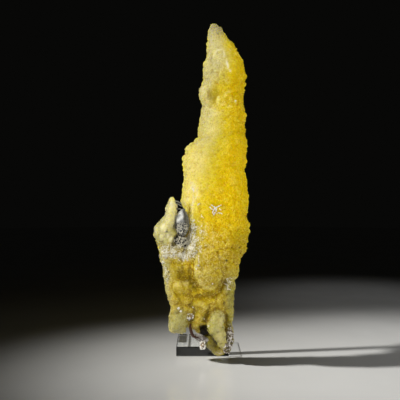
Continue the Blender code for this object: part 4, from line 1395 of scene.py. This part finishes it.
def shell():
    """The broken edge at the bottom: a red-brown rim and a grey sliver."""
    bm = bmesh.new()
    rim = [(190.6, 323.6, -27.0), (190.2, 327.0, -27.2), (190.8, 330.6, -27.2), (191.8, 333.6, -27.0),
           (193.6, 336.2, -26.8), (196.4, 337.6, -26.4), (199.0, 336.6, -26.0), (201.0, 334.6, -25.6)]
    tube(bm, [at(*q) for q in rim], [0.0004, 0.00072, 0.00085, 0.0009, 0.00085, 0.0006, 0.0005, 0.0004], 8, 0.8)
    rumple(bm, 0.0009, 0.00022, 2)
    finish_piece(bm, "shell_rim", white_material("red_brown_rim", (0.060, 0.024, 0.014), 0.42))

    bm = bmesh.new()
    upper = [(193.4, 335.0), (197.0, 333.8), (201.0, 334.4), (205.4, 336.6), (209.6, 340.0)]
    lower = [(195.0, 339.4), (199.0, 341.4), (203.0, 343.0), (206.4, 344.0), (209.6, 344.4)]
    grid = []
    for (ua, va), (ub, vb) in zip(upper, lower):
        line = []
        for j in range(7):
            t = j / 6
            y = -26.0 - 0.9 * math.sin(math.pi * t) + 1.2 * t
            line.append((ua + t * (ub - ua), va + t * (vb - va), y))
        grid.append(line)
    front = [[bm.verts.new(at(*q)) for q in line] for line in grid]
    back = [[bm.verts.new(at(q[0], q[1], q[2] + 0.5)) for q in line] for line in grid]
    rows, cols = len(grid), 7
    for i in range(rows - 1):
        for j in range(cols - 1):
            bm.faces.new((front[i][j], front[i + 1][j], front[i + 1][j + 1], front[i][j + 1]))
            bm.faces.new((back[i][j], back[i][j + 1], back[i + 1][j + 1], back[i + 1][j]))
    for i in range(rows - 1):
        bm.faces.new((front[i][0], back[i][0], back[i + 1][0], front[i + 1][0]))
        bm.faces.new((front[i][-1], front[i + 1][-1], back[i + 1][-1], back[i][-1]))
    for j in range(cols - 1):
        bm.faces.new((front[0][j], front[0][j + 1], back[0][j + 1], back[0][j]))
        bm.faces.new((front[-1][j], back[-1][j], back[-1][j + 1], front[-1][j + 1]))
    bmesh.ops.subdivide_edges(bm, edges=bm.edges, cuts=2, use_grid_fill=True)
    bmesh.ops.recalc_face_normals(bm, faces=bm.faces)
    rumple(bm, 0.0010, 0.00020, 5)
    n = Nodes("mauve_sliver")
    tone = n.mix(n.ramp(n.noise(520, 3, 0.6, 0.8), 0.40, 0.62), (0.20, 0.17, 0.15), (0.62, 0.58, 0.55))
    n.link(tone, n.shader.inputs["Base Color"])
    n.link(n.ramp(n.noise(900, 3), 0.3, 0.7, 0.15, 0.35), n.shader.inputs["Roughness"])
    n.set(Transmission_Weight=0.3, IOR=1.5)
    return finish_piece(bm, "mauve_sliver", n.mat)


threads(spindle())
splinters()
scratches()
crystals()
grains()
ring_beads()
bead_core()
cavity()
shell()

# ------------------------------------------------------------------ acrylic
def acrylic_material(name, roughness, shade):
    """Clear plastic. Its cast shadow is light, and darker along the arrises."""
    n = Nodes(name)
    n.set(Transmission_Weight=1.0, IOR=1.49)
    tint = n.mix(n.ramp(n.noise(60, 2), 0.3, 0.7), (0.955, 0.97, 0.965), (0.985, 0.99, 0.99))
    n.link(tint, n.shader.inputs["Base Color"])
    smear = n.ramp(n.noise(240, 4, 0.65, 1.5), 0.45, 0.8, roughness, roughness + 0.10)
    n.link(smear, n.shader.inputs["Roughness"])
    path = n.tree.nodes.new("ShaderNodeLightPath")
    through = n.tree.nodes.new("ShaderNodeBsdfTransparent")
    if name.endswith("base"):
        split = n.tree.nodes.new("ShaderNodeSeparateXYZ")
        n.link(n.place, split.inputs[0])
        x, y, z = split.outputs
        side_x = n.ramp(n.math("ABSOLUTE", x, 0.0), 0.0150, 0.0155)
        side_y = n.ramp(n.math("ABSOLUTE", y, 0.0), 0.0150, 0.0155)
        top = n.ramp(z, 0.0049, 0.0054)
        arris = n.math("MAXIMUM", n.math("MULTIPLY", side_x, side_y), n.math("MULTIPLY", n.math("MAXIMUM", side_x, side_y), top))
        # light that enters low through the left wall is bent away
        low = n.math("MULTIPLY", n.ramp(x, -0.01597, -0.01599), n.ramp(z, 0.0047, 0.0041))
        low = n.math("MULTIPLY", low, n.ramp(y, -0.0015, 0.0005))
        lost = n.math("MAXIMUM", n.math("MULTIPLY", arris, 0.9), low)
        under = n.ramp(z, 0.0003, 0.0001)
        n.link(n.mix(lost, n.mix(under, shade, (1.75, 1.75, 1.75)), (0.14, 0.14, 0.14)), through.inputs["Color"])
    else:
        through.inputs["Color"].default_value = (*shade, 1)
    either = n.tree.nodes.new("ShaderNodeMixShader")
    n.link(n.math("MAXIMUM", path.outputs["Is Shadow Ray"], path.outputs["Is Diffuse Ray"]), either.inputs[0])
    n.link(n.shader.outputs[0], either.inputs[1])
    n.link(through.outputs[0], either.inputs[2])
    n.link(either.outputs[0], n.tree.nodes["Material Output"].inputs["Surface"])
    return n.mat


for node, roughness, shade in (
    ("acrylic_base", 0.01, (0.95, 0.955, 0.95)),
    ("support_rod", 0.02, (0.36, 0.36, 0.36)),
):
    piece = frame["nodes"][node]
    piece.data.materials.clear()
    piece.data.materials.append(acrylic_material("clear_" + node, roughness, shade))

# ------------------------------------------------------------------- stage
def floor_material():
    n = Nodes("pale_table")
    tone = n.mix(n.ramp(n.noise(9, 3), 0.3, 0.7), (0.60, 0.60, 0.59), (0.66, 0.66, 0.65))
    n.link(tone, n.shader.inputs["Base Color"])
    rough = n.ramp(n.noise(30, 4), 0.3, 0.7, 0.16, 0.22)
    n.link(rough, n.shader.inputs["Roughness"])
    n.set(IOR=1.45, Specular_IOR_Level=0.5)
    return n.mat


bm = bmesh.new()
bmesh.ops.create_circle(bm, cap_ends=True, segments=128, radius=1.6)
floor_mesh = bpy.data.meshes.new("table_top")
bm.to_mesh(floor_mesh)
bm.free()
floor = new_object("table_top", floor_mesh)
floor.location.z = -0.00015
floor.data.materials.append(floor_material())


def aim(thing, target):
    direction = Vector(target) - thing.location
    thing.rotation_euler = direction.to_track_quat("-Z", "Y").to_euler()


def spot(name, place, target, watts, cone, blend, radius, colour=(1, 1, 1)):
    data = bpy.data.lights.new(name, "SPOT")
    data.energy = watts
    data.spot_size = math.radians(cone)
    data.spot_blend = blend
    data.shadow_soft_size = radius
    data.color = colour
    lamp = bpy.data.objects.new(name, data)
    scene.collection.objects.link(lamp)
    lamp.location = place
    aim(lamp, target)
    return lamp


def area(name, place, target, watts, width, height, colour=(1, 1, 1)):
    data = bpy.data.lights.new(name, "AREA")
    data.shape = "RECTANGLE"
    data.size = width
    data.size_y = height
    data.energy = watts
    data.color = colour
    lamp = bpy.data.objects.new(name, data)
    scene.collection.objects.link(lamp)
    lamp.location = place
    aim(lamp, target)
    return lamp


KEY_AT = Vector((-0.914, 0.003, 0.683))
POOL = (0.144, -0.045, 0.0)
WARM = (1.0, 0.985, 0.95)
table_lamps = (
    spot("key", KEY_AT, POOL, 93.0, 16.5, 1.0, 0.030, WARM),
    spot("key_spill", KEY_AT, POOL, 0.5, 34.0, 1.0, 0.030, WARM),
    spot("overhead", (0.15, -0.08, 0.9), (0.18, -0.05, 0.0), 7.0, 25, 1.0, 0.03),
    spot("pool_back", (0.32, 0.15, 0.8), (0.160, 0.160, 0.0), 3.4, 23, 1.0, 0.05),
)
mineral_lamps = (
    area("soft_left", (-0.95, -0.42, 0.55), (0.0, 0.0, 0.10), 12.8, 0.35, 0.35, (1.0, 0.985, 0.95)),
    area("soft_front", (-0.35, -1.10, 0.55), (0.0, 0.0, 0.10), 3.4, 0.5, 0.5, (1.0, 0.985, 0.95)),
    area("soft_right", (0.8, -0.50, 0.30), (0.0, 0.0, 0.10), 6.4, 0.5, 0.5, (1.0, 0.97, 0.90)),
    area("soft_back", (0.25, 1.0, 0.5), (0.0, 0.0, 0.10), 7.0, 0.6, 0.6, (1.0, 0.98, 0.94)),
)
on_table, on_mineral = (bpy.data.collections.new(name) for name in ("table_side", "mineral_side"))
for thing in list(scene.objects):
    if thing.type != "MESH" or thing.hide_render:
        continue
    beside = thing is floor or thing.name.startswith(("acrylic", "support"))
    (on_table if beside else on_mineral).objects.link(thing)
for lamp in table_lamps:
    lamp.light_linking.receiver_collection = on_table
for lamp in mineral_lamps:
    lamp.light_linking.receiver_collection = on_mineral
    lamp.data.specular_factor = 1.0 if lamp.name == "soft_left" else 0.25
    lamp.visible_transmission = False
    lamp.visible_glossy = False

world = bpy.data.worlds.new("dark_room")
world.use_nodes = True
world.node_tree.nodes["Background"].inputs["Color"].default_value = (0.0024, 0.0024, 0.0021, 1)
world.node_tree.nodes["Background"].inputs["Strength"].default_value = 1.0
scene.world = world
scene.view_settings.view_transform = "Standard"

camera_data = bpy.data.cameras.new("camera")
camera_data.sensor_width = 36.0
camera_data.lens = FOCAL / 400.0 * 36.0
camera_data.clip_start = 0.01
camera_data.clip_end = 10.0
camera = bpy.data.objects.new("camera", camera_data)
scene.collection.objects.link(camera)
camera.location = EYE
camera.rotation_euler = (math.radians(90), 0, 0)
scene.camera = camera
